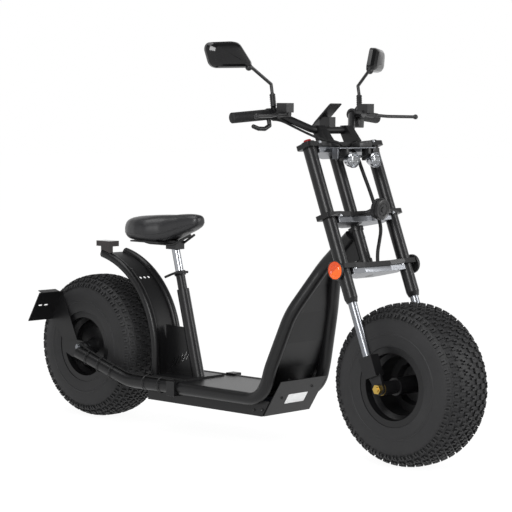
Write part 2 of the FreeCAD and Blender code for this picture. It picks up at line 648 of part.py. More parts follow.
def plate_bracket():
    """Bent sheet bracket on the right dropout, with a bare rear plate leaning forward."""
    y = -(TUBE_HALF_SPACING - TUBE_RADIUS - 8)
    t = 3.0
    arm = [(-101, 424), (-70, 358), (-24, 263), (-22, 227), (-68, 226), (-107, 273), (-159, 327)]
    sheet = side_plate(arm, y, y + t)
    low = (-160, 325)
    high = (-101, 424)
    run = hypot(high[0] - low[0], high[1] - low[1])
    nx = (high[1] - low[1]) / run * t
    nz = -(high[0] - low[0]) / run * t
    back = side_plate([low, high, (high[0] + nx, high[1] + nz), (low[0] + nx, low[1] + nz)],
                      y - PLATE_WIDTH, y + t)
    flange = side_plate([high, (high[0] - 22, high[1] + 6), (high[0] - 22, high[1] + 6 - t), (high[0], high[1] - t)],
                        y - 86, y - 10)
    body = sheet.fuse([back, flange])
    ax = (high[0] - low[0]) / run
    az = (high[1] - low[1]) / run
    across_plate, share = PLATE_SLOT_PLACE
    middle = share * run
    for side in (1, -1):
        centre = vec(low[0] + ax * middle, y - across_plate + side * PLATE_SLOT_SPACING / 2, low[1] + az * middle)
        slot = block(-10, 10, -PLATE_SLOT_LENGTH / 2, PLATE_SLOT_LENGTH / 2, -PLATE_SLOT_WIDTH / 2, PLATE_SLOT_WIDTH / 2)
        slot.rotate(vec(0, 0, 0), vec(0, 1, 0), degrees(atan2(ax, az)))
        slot.translate(centre)
        body = body.cut(slot)
    return body


# Fork and yokes
def yoke(height, clearance):
    """Black clamp bar of one yoke, bored for the fork tubes and the stem."""
    reach = FORK_HALF_SPACING + FORK_TUBE_RADIUS + 9
    t = YOKE_THICKNESS / 2
    outline = [(-23, -reach), (23, -reach), (27, -reach + 8), (27, -FORK_HALF_SPACING + 30), (16, -60), (16, 60),
               (27, FORK_HALF_SPACING - 30), (27, reach - 8), (23, reach), (-23, reach), (-27, reach - 8),
               (-27, FORK_HALF_SPACING - 26), (-58, 34), (-58, -34), (-27, -FORK_HALF_SPACING + 26), (-27, -reach + 8)]
    bar = top_plate(outline, -t, t)
    for side in (1, -1):
        bar = bar.cut(Part.makeCylinder(FORK_TUBE_RADIUS, 4 * t, vec(0, side * FORK_HALF_SPACING, -2 * t)))
    bar = bar.cut(Part.makeCylinder(clearance, 4 * t, vec(-HEAD_SETBACK, 0, -2 * t)))
    return tilted(bar, height)


def yoke_plate(height, clearance):
    """Light alloy plate under a yoke, between the fork legs."""
    reach = FORK_HALF_SPACING - FORK_TUBE_RADIUS - 3
    top = -YOKE_THICKNESS / 2
    outline = [(-20, -reach), (18, -reach), (12, -60), (12, 60), (18, reach), (-20, reach), (-50, 40), (-50, -40)]
    plate = top_plate(outline, top - YOKE_PLATE_WALL, top)
    plate = plate.cut(Part.makeCylinder(clearance, 200, vec(-HEAD_SETBACK, 0, -100)))
    return tilted(plate, height)


def steering_stem():
    """Stem through the head tube and the wider tube from the middle yoke to the top one."""
    low = head_end(YOKE_HEIGHTS[0] - YOKE_THICKNESS / 2 - YOKE_PLATE_WALL)
    middle = head_end(YOKE_HEIGHTS[1] + YOKE_THICKNESS / 2)
    top = head_end(YOKE_HEIGHTS[2] - YOKE_THICKNESS / 2 - YOKE_PLATE_WALL)
    cap = head_end(YOKE_HEIGHTS[2] + YOKE_THICKNESS / 2 + 6)
    stem = rod(low, cap, STEM_RADIUS)
    return stem.fuse(rod(middle, top, UPPER_STEM_RADIUS))


def fork_tube():
    """Left outer fork tube with the wiper at its lower end."""
    low = steer_point(FORK_TUBE_LOW, FORK_HALF_SPACING)
    high = steer_point(FORK_TUBE_HIGH, FORK_HALF_SPACING)
    tube = rod(low, high, FORK_TUBE_RADIUS)
    up = (high - low).normalize()
    wiper = Part.makeCone(STANCHION_RADIUS + 3, FORK_TUBE_RADIUS, 14, low - up * 14, up)
    return tube.fuse(wiper).cut(rod(low - up * 20, low + up * 120, STANCHION_RADIUS + RUNNING_GAP))


def stanchion():
    return rod(steer_point(STANCHION_LOW, FORK_HALF_SPACING), steer_point(FORK_TUBE_LOW + 118, FORK_HALF_SPACING),
               STANCHION_RADIUS)


def axle_bracket():
    """Left axle carrier: a clamp round the stanchion and a plate down to the axle."""
    top = 97
    low = 34
    clamp = tilted(block(-21, 27, -18, 17, 0, top - low), low)
    clamp.translate(vec(0, FORK_HALF_SPACING, 0))
    y = FORK_HALF_SPACING
    foot = steer_point(low, 0)
    x, z = FRONT_AXLE
    shin = side_plate([(foot.x - 20, foot.z + 2), (foot.x + 24, foot.z + 18), (x + 16, z + 4), (x + 12, z - 10),
                       (x - 12, z - 12), (x - 18, z + 2)], y - 8, y + 2)
    boss = rod(vec(x, y - 8, z), vec(x, y + 2, z), 18)
    body = clamp.fuse([shin, boss])
    body = body.cut(rod(vec(x, y - 40, z), vec(x, y + 40, z), FRONT_AXLE_RADIUS))
    return body.cut(rod(steer_point(STANCHION_LOW, y), steer_point(200, y), STANCHION_RADIUS))


NUT_RADIUS = 14.4


def hex_bar(start, end, radius):
    """Hexagonal bar between two points on a line along Y."""
    ring = []
    for corner in range(6):
        a = radians(60 * corner)
        ring.append(vec(start.x + radius * cos(a), start.y, start.z + radius * sin(a)))
    return polygon_face(ring).extrude(end - start)


def front_axle():
    """Front axle, its spacers and its nuts."""
    x, z = FRONT_AXLE
    plate = FORK_HALF_SPACING + 2
    shaft = rod(vec(x, -plate - 14, z), vec(x, plate + 14, z), FRONT_AXLE_RADIUS)
    pieces = []
    for side in (1, -1):
        a = FRONT_HUB_HALF + 4 if side < 0 else FRONT_BRAKE_Y + 6
        pieces.append(rod(vec(x, side * a, z), vec(x, side * (FORK_HALF_SPACING - 8), z), 19))
        pieces.append(hex_bar(vec(x, side * plate, z), vec(x, side * (plate + 11), z), NUT_RADIUS))
    return shaft.fuse(pieces)


def caliper(axle, y, angle, reach, foot, arm):
    """Brake caliper astride a disc, at an angle round the axle, with its carrier arm."""
    x, z = axle
    half = 10
    body = block(-26, 26, y - half, y + half, BRAKE_DISC_RADIUS - 24, BRAKE_DISC_RADIUS + reach)
    slot = block(-40, 40, y - BRAKE_DISC_WALL / 2 - 2, y + BRAKE_DISC_WALL / 2 + 2, 0, BRAKE_DISC_RADIUS + 4)
    body = body.cut(slot)
    piston = Part.makeCylinder(15, half + 4, vec(0, y, BRAKE_DISC_RADIUS - 9), vec(0, 1, 0))
    body = body.fuse(piston.cut(slot))
    body = body.fuse(block(-24, 24, y + half, foot - 6, BRAKE_DISC_RADIUS + reach - 18, BRAKE_DISC_RADIUS + reach))
    body = body.fuse(block(-24, 24, foot - 6, foot, arm, BRAKE_DISC_RADIUS + reach))
    body.rotate(vec(0, 0, 0), vec(0, 1, 0), angle)
    body.translate(vec(x, 0, z))
    return body


def reflector():
    """Left side reflector disc on the end of the lower yoke."""
    c = steer_point(YOKE_HEIGHTS[0] - 6, FORK_HALF_SPACING + FORK_TUBE_RADIUS + 9)
    rim = Part.makeCylinder(29, 8, vec(c.x, c.y, c.z), vec(0, 1, 0))
    return rim


# Lamps, horn and controls
LAMP_PLATE = (WHEELBASE - 209.0, 932.0)
LAMP_PLATE_HALF_WIDTH = 83.0
LAMP_HALF_SPACING = 51.0
LAMP_RADIUS = 23.0


def lamp_bracket(yokes):
    """Folded plate ahead of the top yoke that carries the headlights."""
    x, z = LAMP_PLATE
    w = LAMP_PLATE_HALF_WIDTH
    plate = block(x - 62, x, -w, w, z - 3, z)
    legs = []
    for y0 in (-w, w - 3):
        legs.append(block(x - 30, x - 8, y0, y0 + 3, z - 34, z))
    bar = rod(vec(x - 19, 2 - w, z - 28), vec(x - 19, w - 2, z - 28), 4)
    whole = plate.fuse(legs + [bar]).cut(yokes)
    return max(whole.Solids, key=lambda s: s.Volume)


def headlights(bracket):
    """Two round lamps with bowls, below the bracket."""
    lamps = []
    x, z = LAMP_PLATE
    r = LAMP_RADIUS
    for side in (1, -1):
        c = vec(x - 4, side * LAMP_HALF_SPACING, z - 37)
        bowl = Part.makeCone(12, r - 1, 26, c, vec(1, 0, 0))
        rim = Part.makeCylinder(r, 8, c + vec(26, 0, 0), vec(1, 0, 0))
        neck = block(c.x - 20, c.x + 8, c.y - 6, c.y + 6, z - 40, z - 3)
        lamps.append(bowl.fuse([rim, neck]).cut(bracket))
    return lamps


def horn():
    """Round horn with its bracket on the middle yoke."""
    c = steer_point(YOKE_HEIGHTS[1] - 2, 10, 62)
    body = Part.makeCylinder(31, 22, c, vec(1, 0, -0.1))
    lip = Part.makeCylinder(33, 5, c + vec(8, 0, -0.8), vec(1, 0, -0.1))
    arm = tilted(block(16, 66, -16, 4, -3, 0).fuse(block(63, 66, -16, 4, -26, 0)), YOKE_HEIGHTS[1])
    return body.fuse([lip, arm])


BAR_CENTRE = vec(WHEELBASE - 309, 0, 980)
# Left half of the handlebar: place of each bend and its radius
HANDLEBAR = (
    ((BAR_CENTRE.x, 0, 980), None),
    ((BAR_CENTRE.x, 86, 982), 50),
    ((BAR_CENTRE.x - 73, 172, 1031), 45),
    ((BAR_CENTRE.x - 104, 327, 1018), None),
)


def handlebar():
    """Swept-back handlebar, drawn through from the right end to the left one."""
    left = [vec(*place) for place, _ in HANDLEBAR]
    right = [vec(p.x, -p.y, p.z) for p in reversed(left)]
    radii = [radius for _, radius in HANDLEBAR[1:-1]]
    points = right[:-1] + left[1:]
    return bent_bar(points, radii[::-1] + radii, BAR_RADIUS)


GRIP_LENGTH = 125.0


def grip():
    """Left grip round the end of the bar."""
    inner = vec(*HANDLEBAR[2][0])
    end = vec(*HANDLEBAR[3][0])
    way = (end - inner).normalize()
    start = end - way * GRIP_LENGTH
    sleeve = rod(start, end + way * 3, GRIP_RADIUS)
    return sleeve.cut(rod(start - way, end, BAR_RADIUS))


def bar_risers(bar):
    """Two clamps that carry the handlebar above the top yoke."""
    risers = []
    foot = steer_point(YOKE_HEIGHTS[2] + YOKE_THICKNESS / 2, 0)
    x = BAR_CENTRE.x
    z = BAR_CENTRE.z
    outline = [(foot.x - 19, foot.z - 7), (foot.x + 20, foot.z + 8), (x + 17, z + 8), (x + 8, z + 17), (x - 10, z + 16),
               (x - 17, z + 6)]
    for side in (1, -1):
        y = side * 62
        risers.append(side_plate(outline, y - 16, y + 16).cut(bar))
    return risers


LEVER_TIP = vec(BAR_CENTRE.x + 27, 364, 1023)
MIRROR_FOOT = vec(BAR_CENTRE.x - 63, 197, 1054)


def control_frame(distance):
    """Point on the straight left end of the bar, a distance in from its tip, and its direction."""
    inner = vec(*HANDLEBAR[2][0])
    end = vec(*HANDLEBAR[3][0])
    way = (end - inner).normalize()
    return end - way * distance, way


def brake_control():
    """Left brake lever, its clamp and fluid reservoir."""
    c, way = control_frame(GRIP_LENGTH + 22)
    clamp = rod(c - way * 12, c + way * 12, BAR_RADIUS + 7)
    forward = vec(way.y, -way.x, 0)
    body = rod(c + forward * 12 - way * 4, c + forward * 50 - way * 24, 11)
    tank = block(-20, 20, -16, 16, 4, 32)
    tank.translate(c + forward * 48 - way * 8)
    pivot = c + forward * 54 + way * 22
    arm = rod(c + forward * 44 - way * 18, pivot + way * 6, 8)
    lever = bent_bar([pivot, pivot + forward * 30 + way * 50, LEVER_TIP], [120], 5)
    boss = rod(c, MIRROR_FOOT, 8)
    bar = rod(c - way * 40, c + way * 40, BAR_RADIUS)
    return clamp.fuse([body, tank, arm, lever, boss]).cut(bar)


# Outline of a mirror housing, as shares of its half width and half height
MIRROR_OUTLINE = (
    (-1.0, 0.15), (-0.82, 0.8), (0.2, 1.0), (0.55, 0.85), (1.0, -0.55), (0.85, -0.8), (-0.55, -0.85), (-0.9, -0.45),
)
# Sections of the housing, glass to back: (depth, half width, half height)
MIRROR_SECTIONS = ((0, 75, 42), (14, 72, 40), (30, 50, 26))


def mirror(control):
    """Left mirror: rubber boot, bent stem, ball and shaped housing."""
    x = BAR_CENTRE.x
    boot_top = vec(x - 66, 199, 1090)
    stem = bent_bar([boot_top, vec(x - 71, 199, 1118), vec(x - 86, 272, 1169)], [25], 5)
    boot = rod(MIRROR_FOOT, boot_top, 9).cut(control)
    ball = Part.makeSphere(11, vec(x - 88, 277, 1167))
    head = []
    for depth, half_width, half_height in MIRROR_SECTIONS:
        points = [vec(depth, -half_width * u, half_height * v) for u, v in MIRROR_OUTLINE]
        head.append(Part.makePolygon(points + points[:1]))
    shell = Part.makeLoft(head, True, True)
    shell.rotate(vec(0, 0, 0), vec(0, 0, 1), 25)
    shell.translate(vec(x - 124, 330, 1200))
    return shell.fuse([stem, boot, ball])


def display(bar):
    """Instrument plate leaning over the bar clamps."""
    x = BAR_CENTRE.x
    z = BAR_CENTRE.z
    plate = block(-2, 2, -25, 25, 0, 104)
    plate.rotate(vec(0, 0, 0), vec(0, 1, 0), 48)
    plate.translate(vec(x - 61, -5, z + 12))
    foot = block(x - 33, x + 7, -24, 4, z + 4, z + 42)
    return plate.fuse(foot).cut(bar)


# Stand
def stand_bracket():
    """Ear on the left dropout that the side stand turns on."""
    x, y, z = STAND_PIVOT
    inner = TUBE_HALF_SPACING - TUBE_RADIUS
    plate = side_plate([(-30, 210), (x - 22, 232), (x - 22, z - 14), (x + 6, z - 20), (-24, 196)], inner, inner + 8)
    pin = rod(vec(x, inner + 4, z), vec(x, y + 14, z), 6)
    washer = rod(vec(x, inner + 8, z), vec(x, y - 10, z), 12)
    return plate.fuse([pin, washer])


def side_stand():
    """Side stand leg with a flat foot on the floor."""
    x, y, z = STAND_PIVOT
    eye = rod(vec(x, y - 9.5, z), vec(x, y + 9.5, z), 16)
    knee = vec(x, y, z)
    foot = vec(STAND_FOOT[0], STAND_FOOT[1], STAND_ROD_RADIUS - 4)
    leg = rod(knee, foot, STAND_ROD_RADIUS)
    shoe = block(foot.x - 30, foot.x + 24, foot.y - 16, foot.y + 18, 0, 6)
    body = leg.fuse([eye, shoe]).cut(block(foot.x - 60, foot.x + 60, foot.y - 60, foot.y + 60, -30, 0))
    return body.cut(rod(vec(x, y - 60, z), vec(x, y + 60, z), 6 + RUNNING_GAP))


# Writing
def write(name, shape):
    """Move a piece to the row's frame and write it as its own file."""
    solids = shape if isinstance(shape, list) else [shape]
    solids = [s for piece in solids for s in piece.Solids]
    whole = Part.Compound(solids) if len(solids) > 1 else solids[0]
    whole = whole.copy()
    whole.translate(vec(-ROW_SHIFT, 0, 0))
    whole.exportStep("parts/" + name + ".step")
    print(name, len(solids), "solids", "valid" if whole.isValid() else "INVALID", round(whole.Volume))


def both(left):
    """A left piece and its mirror image."""
    return [left, across(left)]


def build():
    os.makedirs("parts", exist_ok=True)
    left_tube = frame_tube()
    right_tube = across(left_tube)
    tubes = Part.Compound([left_tube, right_tube])
    hoop = hoop_tube()
    hoops = Part.Compound(both(hoop))
    write("frame_tube_left", left_tube)
    write("frame_tube_right", right_tube)
    write("head_tube", head_tube(tubes))
    plate = dropout()
    write("dropouts", [plate.fuse(stand_bracket()), across(plate)])
    write("rear_axle", rear_axle())
    bars = [bar.cut(tubes) for bar in cross_members()]
    write("cross_members", bars)
    write("battery_block", battery_block())
    write("battery_box", battery_box(tubes))
    write("box_front_cover", box_front_cover())
    deck = deck_plate(DECK_JOINT_X, DECK_FRONT_X, DECK_TOP_Z, tubes)
    write("deck_front", deck)
    write("legshield_panel", legshield(Part.Compound([left_tube, right_tube, deck] + bars)))
    rear = rear_deck(tubes)
    write("deck_rear", rear)
    write("tube_clamps", tube_clamps())
    seat = seat_tube()
    write("seat_tube", seat)
    write("seat_collar", seat_collar())
    write("hoop_tubes", both(hoop))
    sheet = fender(hoops)
    write("fender_sheet", sheet)
    write("seat_gusset", seat_gusset(Part.Compound([seat, sheet, rear])))
    write("tail_lamp", tail_lamp(hoops))
    write("plate_bracket", plate_bracket())
    write("rear_caliper", caliper(REAR_AXLE, REAR_BRAKE_Y, -50, 8, TUBE_HALF_SPACING - TUBE_RADIUS - 8, 16))
    write("side_stand", side_stand())
    write("seat_post", seat_post())
    pad = saddle()
    write("saddle_base", saddle_base(pad))
    write("saddle", pad)
    yokes = [yoke(h, STEM_RADIUS) for h in YOKE_HEIGHTS]
    write("yokes", yokes)
    plates = [yoke_plate(h, STEM_RADIUS) for h in YOKE_HEIGHTS]
    write("yoke_plates", plates)
    write("steering_stem", steering_stem())
    write("fork_tubes", both(fork_tube()))
    write("stanchions", both(stanchion()))
    write("axle_brackets", both(axle_bracket()))
    write("front_axle", front_axle())
    write("front_caliper", caliper(FRONT_AXLE, FRONT_BRAKE_Y, -44, 16, FORK_HALF_SPACING - 18, 60))
    write("side_reflectors", both(reflector()))
    bracket = lamp_bracket(Part.Compound(yokes + plates))
    write("lamp_bracket", bracket)
    write("headlights", headlights(bracket))
    write("horn", horn())
    bar = handlebar()
    write("bar_risers", bar_risers(bar))
    write("handlebar", bar)
    write("grips", both(grip()))
    control = brake_control()
    write("brake_levers", both(control))
    write("mirrors", both(mirror(control)))
    write("display", display(bar))
    for name, axle in (("front", FRONT_AXLE), ("rear", REAR_AXLE)):
        write(name + "_tyre", tyre(axle))
    write("front_rim", front_rim())
    write("rear_rim", rear_rim())
    write("hub_motor", hub_motor())
    write("front_brake_disc", front_brake_disc())
    write("rear_brake_disc", rear_brake_disc())


build()
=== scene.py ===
"""Looks of a fat-tyre electric scooter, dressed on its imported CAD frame."""

import logging
from dataclasses import dataclass
from enum import Enum
from math import atan2, cos, pi, radians, sin, tau

import bmesh
import bpy
from mathutils import Matrix, Vector


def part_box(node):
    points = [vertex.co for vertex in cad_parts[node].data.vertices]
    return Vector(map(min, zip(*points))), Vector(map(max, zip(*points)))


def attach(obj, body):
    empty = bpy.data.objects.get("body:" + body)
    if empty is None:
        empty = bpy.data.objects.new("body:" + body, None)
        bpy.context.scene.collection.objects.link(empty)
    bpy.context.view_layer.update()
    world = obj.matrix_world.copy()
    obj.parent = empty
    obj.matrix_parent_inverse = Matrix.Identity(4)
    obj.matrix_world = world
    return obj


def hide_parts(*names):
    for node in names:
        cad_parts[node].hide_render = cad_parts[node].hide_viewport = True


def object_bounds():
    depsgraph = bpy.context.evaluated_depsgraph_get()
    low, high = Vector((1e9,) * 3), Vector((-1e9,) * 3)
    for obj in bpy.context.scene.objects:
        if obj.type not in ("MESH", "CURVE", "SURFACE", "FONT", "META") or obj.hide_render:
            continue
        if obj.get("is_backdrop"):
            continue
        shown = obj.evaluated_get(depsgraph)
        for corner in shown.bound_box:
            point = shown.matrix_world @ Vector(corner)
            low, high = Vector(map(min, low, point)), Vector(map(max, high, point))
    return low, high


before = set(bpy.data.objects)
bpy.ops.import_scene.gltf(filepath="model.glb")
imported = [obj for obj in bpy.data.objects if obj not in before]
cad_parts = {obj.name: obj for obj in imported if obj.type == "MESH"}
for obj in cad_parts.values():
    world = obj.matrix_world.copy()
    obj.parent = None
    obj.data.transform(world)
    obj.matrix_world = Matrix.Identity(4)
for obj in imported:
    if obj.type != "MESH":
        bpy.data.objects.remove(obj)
CAD_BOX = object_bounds()
LOG = logging.getLogger("scooter")
MM = 0.001
PHOTO_WIDTH = 512
WHEELBASE = 1338.0
AXLE_UP = 241.3
SIDES = ((1, "left"), (-1, "right"))
# Rows of numbers, most of them pairs
Pairs = tuple[tuple[float, ...], ...]


class Surface(Enum):
    """How a surface was made, which decides the pattern drawn on it."""

    PAINTED = "painted"
    MOULDED = "moulded"
    BRUSHED = "brushed"
    CAST = "cast"
    GRAINED = "grained"
    RIBBED = "ribbed"
    CLEAR = "clear"


def linear(colour: str) -> tuple[float, float, float, float]:
    """Turns an sRGB hex colour to linear light.

    Args:
        colour: six hex digits after a hash.

    Returns:
        Red, green, blue and an alpha of 1.
    """
    parts = [int(colour[i : i + 2], 16) / 255 for i in (1, 3, 5)]
    red, green, blue = (c / 12.92 if c <= 0.04045 else ((c + 0.055) / 1.055) ** 2.4 for c in parts)
    return red, green, blue, 1.0


def add_node(tree: bpy.types.NodeTree, kind: str, inputs: dict | None = None,
             **settings: object) -> bpy.types.Node:
    """Adds a shader node with its settings, values and links.

    Args:
        tree: the node tree.
        kind: the node's type.
        inputs: a value, or a socket to link, for each named or numbered input.
        settings: attributes of the node.

    Returns:
        The new node.
    """
    node = tree.nodes.new(kind)
    for key, value in settings.items():
        setattr(node, key, value)
    for key, value in (inputs or {}).items():
        if isinstance(value, bpy.types.NodeSocket):
            tree.links.new(value, node.inputs[key])
        else:
            node.inputs[key].default_value = value
    return node


@dataclass(frozen=True)
class Finish:
    """One real finish: what it is made of and how its surface was made."""

    name: str
    surface: Surface
    colour: str
    roughness: float
    metallic: float = 0.0
    specular: float = 0.5
    grain_mm: float = 1.2
    depth_mm: float = 0.03
    spread: float = 0.08
    clear: float = 0.0
    wear_mm: float = 90.0
    brush_stretch: float = 0.06

    def build(self) -> bpy.types.Material:
        """Makes the node material, with its pattern at real size.

        Returns:
            The material.
        """
        material = bpy.data.materials.new(self.name)
        material.use_nodes = True
        tree = material.node_tree
        shader = next(n for n in tree.nodes if n.type == "BSDF_PRINCIPLED")
        shader.inputs["Metallic"].default_value = self.metallic
        shader.inputs["Specular IOR Level"].default_value = self.specular
        shader.inputs["Transmission Weight"].default_value = self.clear
        place = add_node(tree, "ShaderNodeTexCoord").outputs["Object"]
        if self.surface is Surface.BRUSHED:
            stretch = {"Vector": place, "Scale": (1.0, 1.0, self.brush_stretch)}
            place = add_node(tree, "ShaderNodeMapping", stretch).outputs["Vector"]
        grain = self._grain(tree, place)
        patches = {"Vector": place, "Scale": 1 / (self.wear_mm * MM), "Detail": 4.0}
        wear = add_node(tree, "ShaderNodeTexNoise", patches)
        shades = {"Value": wear.outputs["Fac"], "From Min": 0.3, "From Max": 0.7,
                  "To Min": 1 - self.spread, "To Max": 1 + self.spread}
        tone = add_node(tree, "ShaderNodeMapRange", shades)
        tint = {0: linear(self.colour)[:3], "Scale": tone.outputs["Result"]}
        base = add_node(tree, "ShaderNodeVectorMath", tint, operation="SCALE")
        tree.links.new(base.outputs["Vector"], shader.inputs["Base Color"])
        gloss = {"Value": grain, "To Min": max(0.02, self.roughness - self.spread),
                 "To Max": self.roughness + self.spread}
        rough = add_node(tree, "ShaderNodeMapRange", gloss)
        tree.links.new(rough.outputs["Result"], shader.inputs["Roughness"])
        relief = {"Height": grain, "Strength": 0.6, "Distance": self.depth_mm * MM}
        bump = add_node(tree, "ShaderNodeBump", relief)
        tree.links.new(bump.outputs["Normal"], shader.inputs["Normal"])
        return material

    def _grain(self, tree: bpy.types.NodeTree, place: bpy.types.NodeSocket) -> bpy.types.NodeSocket:
        """Adds the fine pattern of the surface.

        Args:
            tree: the node tree.
            place: coordinates in metres.

        Returns:
            The pattern's height socket.
        """
        scale = 1 / (self.grain_mm * MM)
        if self.surface is Surface.GRAINED:
            spots = {"Vector": place, "Scale": scale}
            return add_node(tree, "ShaderNodeTexVoronoi", spots, feature="SMOOTH_F1").outputs["Distance"]
        if self.surface is Surface.RIBBED:
            # A wave texture repeats every pi / 10 of its scaled coordinate
            bands = {"Vector": place, "Scale": scale * pi / 10, "Distortion": 0.0}
            ribs = add_node(tree, "ShaderNodeTexWave", bands, wave_type="BANDS", bands_direction="Y")
            return ribs.outputs["Fac"]
        speckle = {"Vector": place, "Scale": scale, "Detail": 3.0}
        return add_node(tree, "ShaderNodeTexNoise", speckle).outputs["Fac"]


# Powder-coated steel: satin black with a faint orange peel
FRAME_PAINT = Finish("satin_powder_coat", Surface.PAINTED, "#111112", 0.34, specular=0.27, grain_mm=2.2,
                     depth_mm=0.02)
# Anodised calipers and levers: rougher than the frame's coat, with a broad sheen
BLACK_ALLOY = Finish("black_anodised_alloy", Surface.CAST, "#161617", 0.4, specular=0.38, grain_mm=0.8)
# Machined plates under the yokes and over the lamps: mid-grey metal
ALLOY = Finish("machined_alloy", Surface.CAST, "#85878b", 0.38, metallic=1.0, grain_mm=0.9, spread=0.05)
# Ground and hard-chromed sliding tubes: grey metal with fine marks along it
STANCHION_STEEL = Finish("brushed_chromed_steel", Surface.BRUSHED, "#797b7f", 0.3, metallic=1.0, grain_mm=0.7,
                         spread=0.06)
# Chrome of the lamps and seat post: nearly a mirror
CHROME = Finish("bright_chrome", Surface.CAST, "#9b9da1", 0.12, metallic=1.0, depth_mm=0.004, spread=0.02)
# Yellow passivate on zinc: a dull gold nut
ZINC = Finish("yellow_zinc_plate", Surface.CAST, "#b99c52", 0.34, metallic=1.0, grain_mm=3.0)
# Clear zinc on the yoke bolts: dull silver
BOLT_ZINC = Finish("clear_zinc_bolt", Surface.CAST, "#a9abae", 0.3, metallic=1.0, grain_mm=0.6)
# Oiled black oxide: dark heads that just catch the light
BOLT_BLACK = Finish("black_oxide_bolt", Surface.CAST, "#19191a", 0.32, specular=0.4, grain_mm=0.6)
# Vulcanised tyre rubber: matt, dusty grey-black
TYRE_RUBBER = Finish("vulcanised_tyre_rubber", Surface.MOULDED, "#1f1f20", 0.58, specular=0.28, grain_mm=1.6,
                     depth_mm=0.08, spread=0.12)
# Moulded grips: matt ribs 4 mm apart
GRIP_RUBBER = Finish("moulded_grip_rubber", Surface.RIBBED, "#121213", 0.6, specular=0.25, grain_mm=4.0,
                     depth_mm=0.8)
# Braid over the cables: matt, finely knotted
CABLE_SLEEVE = Finish("braided_cable_sleeve", Surface.GRAINED, "#0f0f10", 0.6, specular=0.25, grain_mm=1.2,
                      depth_mm=0.15)
# Vinyl cover: soft sheen over an embossed leather grain
SADDLE_VINYL = Finish("embossed_saddle_vinyl", Surface.GRAINED, "#1a1a1c", 0.4, specular=0.42, grain_mm=1.8,
                      depth_mm=0.12)
# Moulded housings: fine spark texture
ABS = Finish("textured_black_abs", Surface.MOULDED, "#161617", 0.4, specular=0.36, grain_mm=0.9)
# Mirror shells: polished moulding
GLOSS_ABS = Finish("gloss_black_abs", Surface.MOULDED, "#0c0c0d", 0.16, specular=0.3, grain_mm=4.0,
                   depth_mm=0.01)
# The side reflectors' amber acrylic with small prisms, in a lighter and a deeper copy: painted light and
# painted shade on one lens
AMBER_PAINTED_LIGHT = Finish("amber_acrylic_painted_light", Surface.GRAINED, "#e0580c", 0.14, spread=0.03, grain_mm=3.0,
                    depth_mm=0.3)
AMBER_PAINTED_SHADE = Finish("amber_acrylic_painted_shade", Surface.GRAINED, "#b93c06", 0.18, spread=0.03, grain_mm=3.0,
                    depth_mm=0.3)
# Rear lamp lens: deep red, with small prisms
RED_LENS = Finish("red_acrylic_lens", Surface.GRAINED, "#7d0a0a", 0.14, spread=0.03, grain_mm=3.0,
                  depth_mm=0.3)
# Adjuster cap on the right fork leg: metallic red
RED_CAP = Finish("red_anodised_cap", Surface.CAST, "#a01414", 0.3, metallic=0.6, grain_mm=0.8)
# Headlamp glass: clear, hardly wavy
LAMP_GLASS = Finish("pressed_lamp_glass", Surface.CLEAR, "#eef1f3", 0.04, spread=0.01, grain_mm=5.0,
                    depth_mm=0.004, clear=0.9)
# Display window: black and shiny
SMOKED_GLASS = Finish("smoked_display_glass", Surface.CLEAR, "#0b0c0e", 0.08, spread=0.02, grain_mm=6.0)
# Rear lamp housing: nearly black, a touch of red
SMOKED_LENS = Finish("smoked_acrylic_lens", Surface.CLEAR, "#140606", 0.14, spread=0.02, grain_mm=3.0)
# Shrink sleeve of the battery: dark blue-grey
BATTERY_SLEEVE = Finish("shrink_sleeve", Surface.MOULDED, "#20242e", 0.4)
# Ground brake discs: grey steel
DISC_STEEL = Finish("ground_disc_steel", Surface.CAST, "#85878b", 0.3, metallic=1.0, grain_mm=0.6)
# Silvered mirror glass: shows the room
MIRROR_GLASS = Finish("silvered_mirror_glass", Surface.CAST, "#c7cbcf", 0.03, metallic=1.0, depth_mm=0.0,
                      spread=0.01)
# Blank plate and lamp bulbs: plain white
BLANK_PLATE = Finish("white_blank_plate", Surface.PAINTED, "#e6e7e7", 0.4, grain_mm=1.5, spread=0.02)

NODE_FINISHES = {
    FRAME_PAINT: ("frame_tube_left", "frame_tube_right", "head_tube", "dropouts", "cross_members",
                  "battery_box", "box_front_cover", "legshield_panel", "deck_front", "deck_rear",
                  "tube_clamps", "seat_tube", "seat_gusset", "hoop_tubes", "fender_sheet", "plate_bracket",
                  "yokes", "steering_stem", "fork_tubes", "axle_brackets", "bar_risers", "handlebar",
                  "side_stand", "seat_collar", "rear_rim", "front_rim", "hub_motor"),
    BLACK_ALLOY: ("front_caliper", "rear_caliper", "brake_levers"),
    ALLOY: ("yoke_plates", "lamp_bracket"),
    STANCHION_STEEL: ("stanchions", "rear_axle"),
    DISC_STEEL: ("front_brake_disc", "rear_brake_disc"),
    CHROME: ("seat_post",),
    ZINC: ("front_axle",),
    GRIP_RUBBER: ("grips",),
    ABS: ("saddle_base", "display", "horn"),
    SMOKED_LENS: ("tail_lamp",),
    BATTERY_SLEEVE: ("battery_block",),
}


class Paintshop:
    """Makes each finish once and lays it on pieces."""

    def __init__(self) -> None:
        """Starts with no material made."""
        self.made: dict[str, bpy.types.Material] = {}

    def material(self, finish: Finish) -> bpy.types.Material:
        """Gives the material of a finish, made at its first use."""
        if finish.name not in self.made:
            self.made[finish.name] = finish.build()
        return self.made[finish.name]

    def coat(self, piece: bpy.types.Object, *finishes: Finish) -> None:
        """Gives a piece its finishes, in the order of its faces' material numbers."""
        # Clearing an empty list would set every face's number to 0
        if piece.data.materials:
            piece.data.materials.clear()
        for finish in finishes:
            piece.data.materials.append(self.material(finish))

    def coat_frame(self) -> None:
        """Gives every shown CAD node its finish."""
        for finish, names in NODE_FINISHES.items():
            for name in names:
                self.coat(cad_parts[name], finish)


def at(ahead: float, side: float, up: float) -> Vector:
    """Place in the row frame, from millimetres ahead of the rear axle, left of the middle and up."""
    return Vector((ahead - WHEELBASE / 2, side, up)) * MM


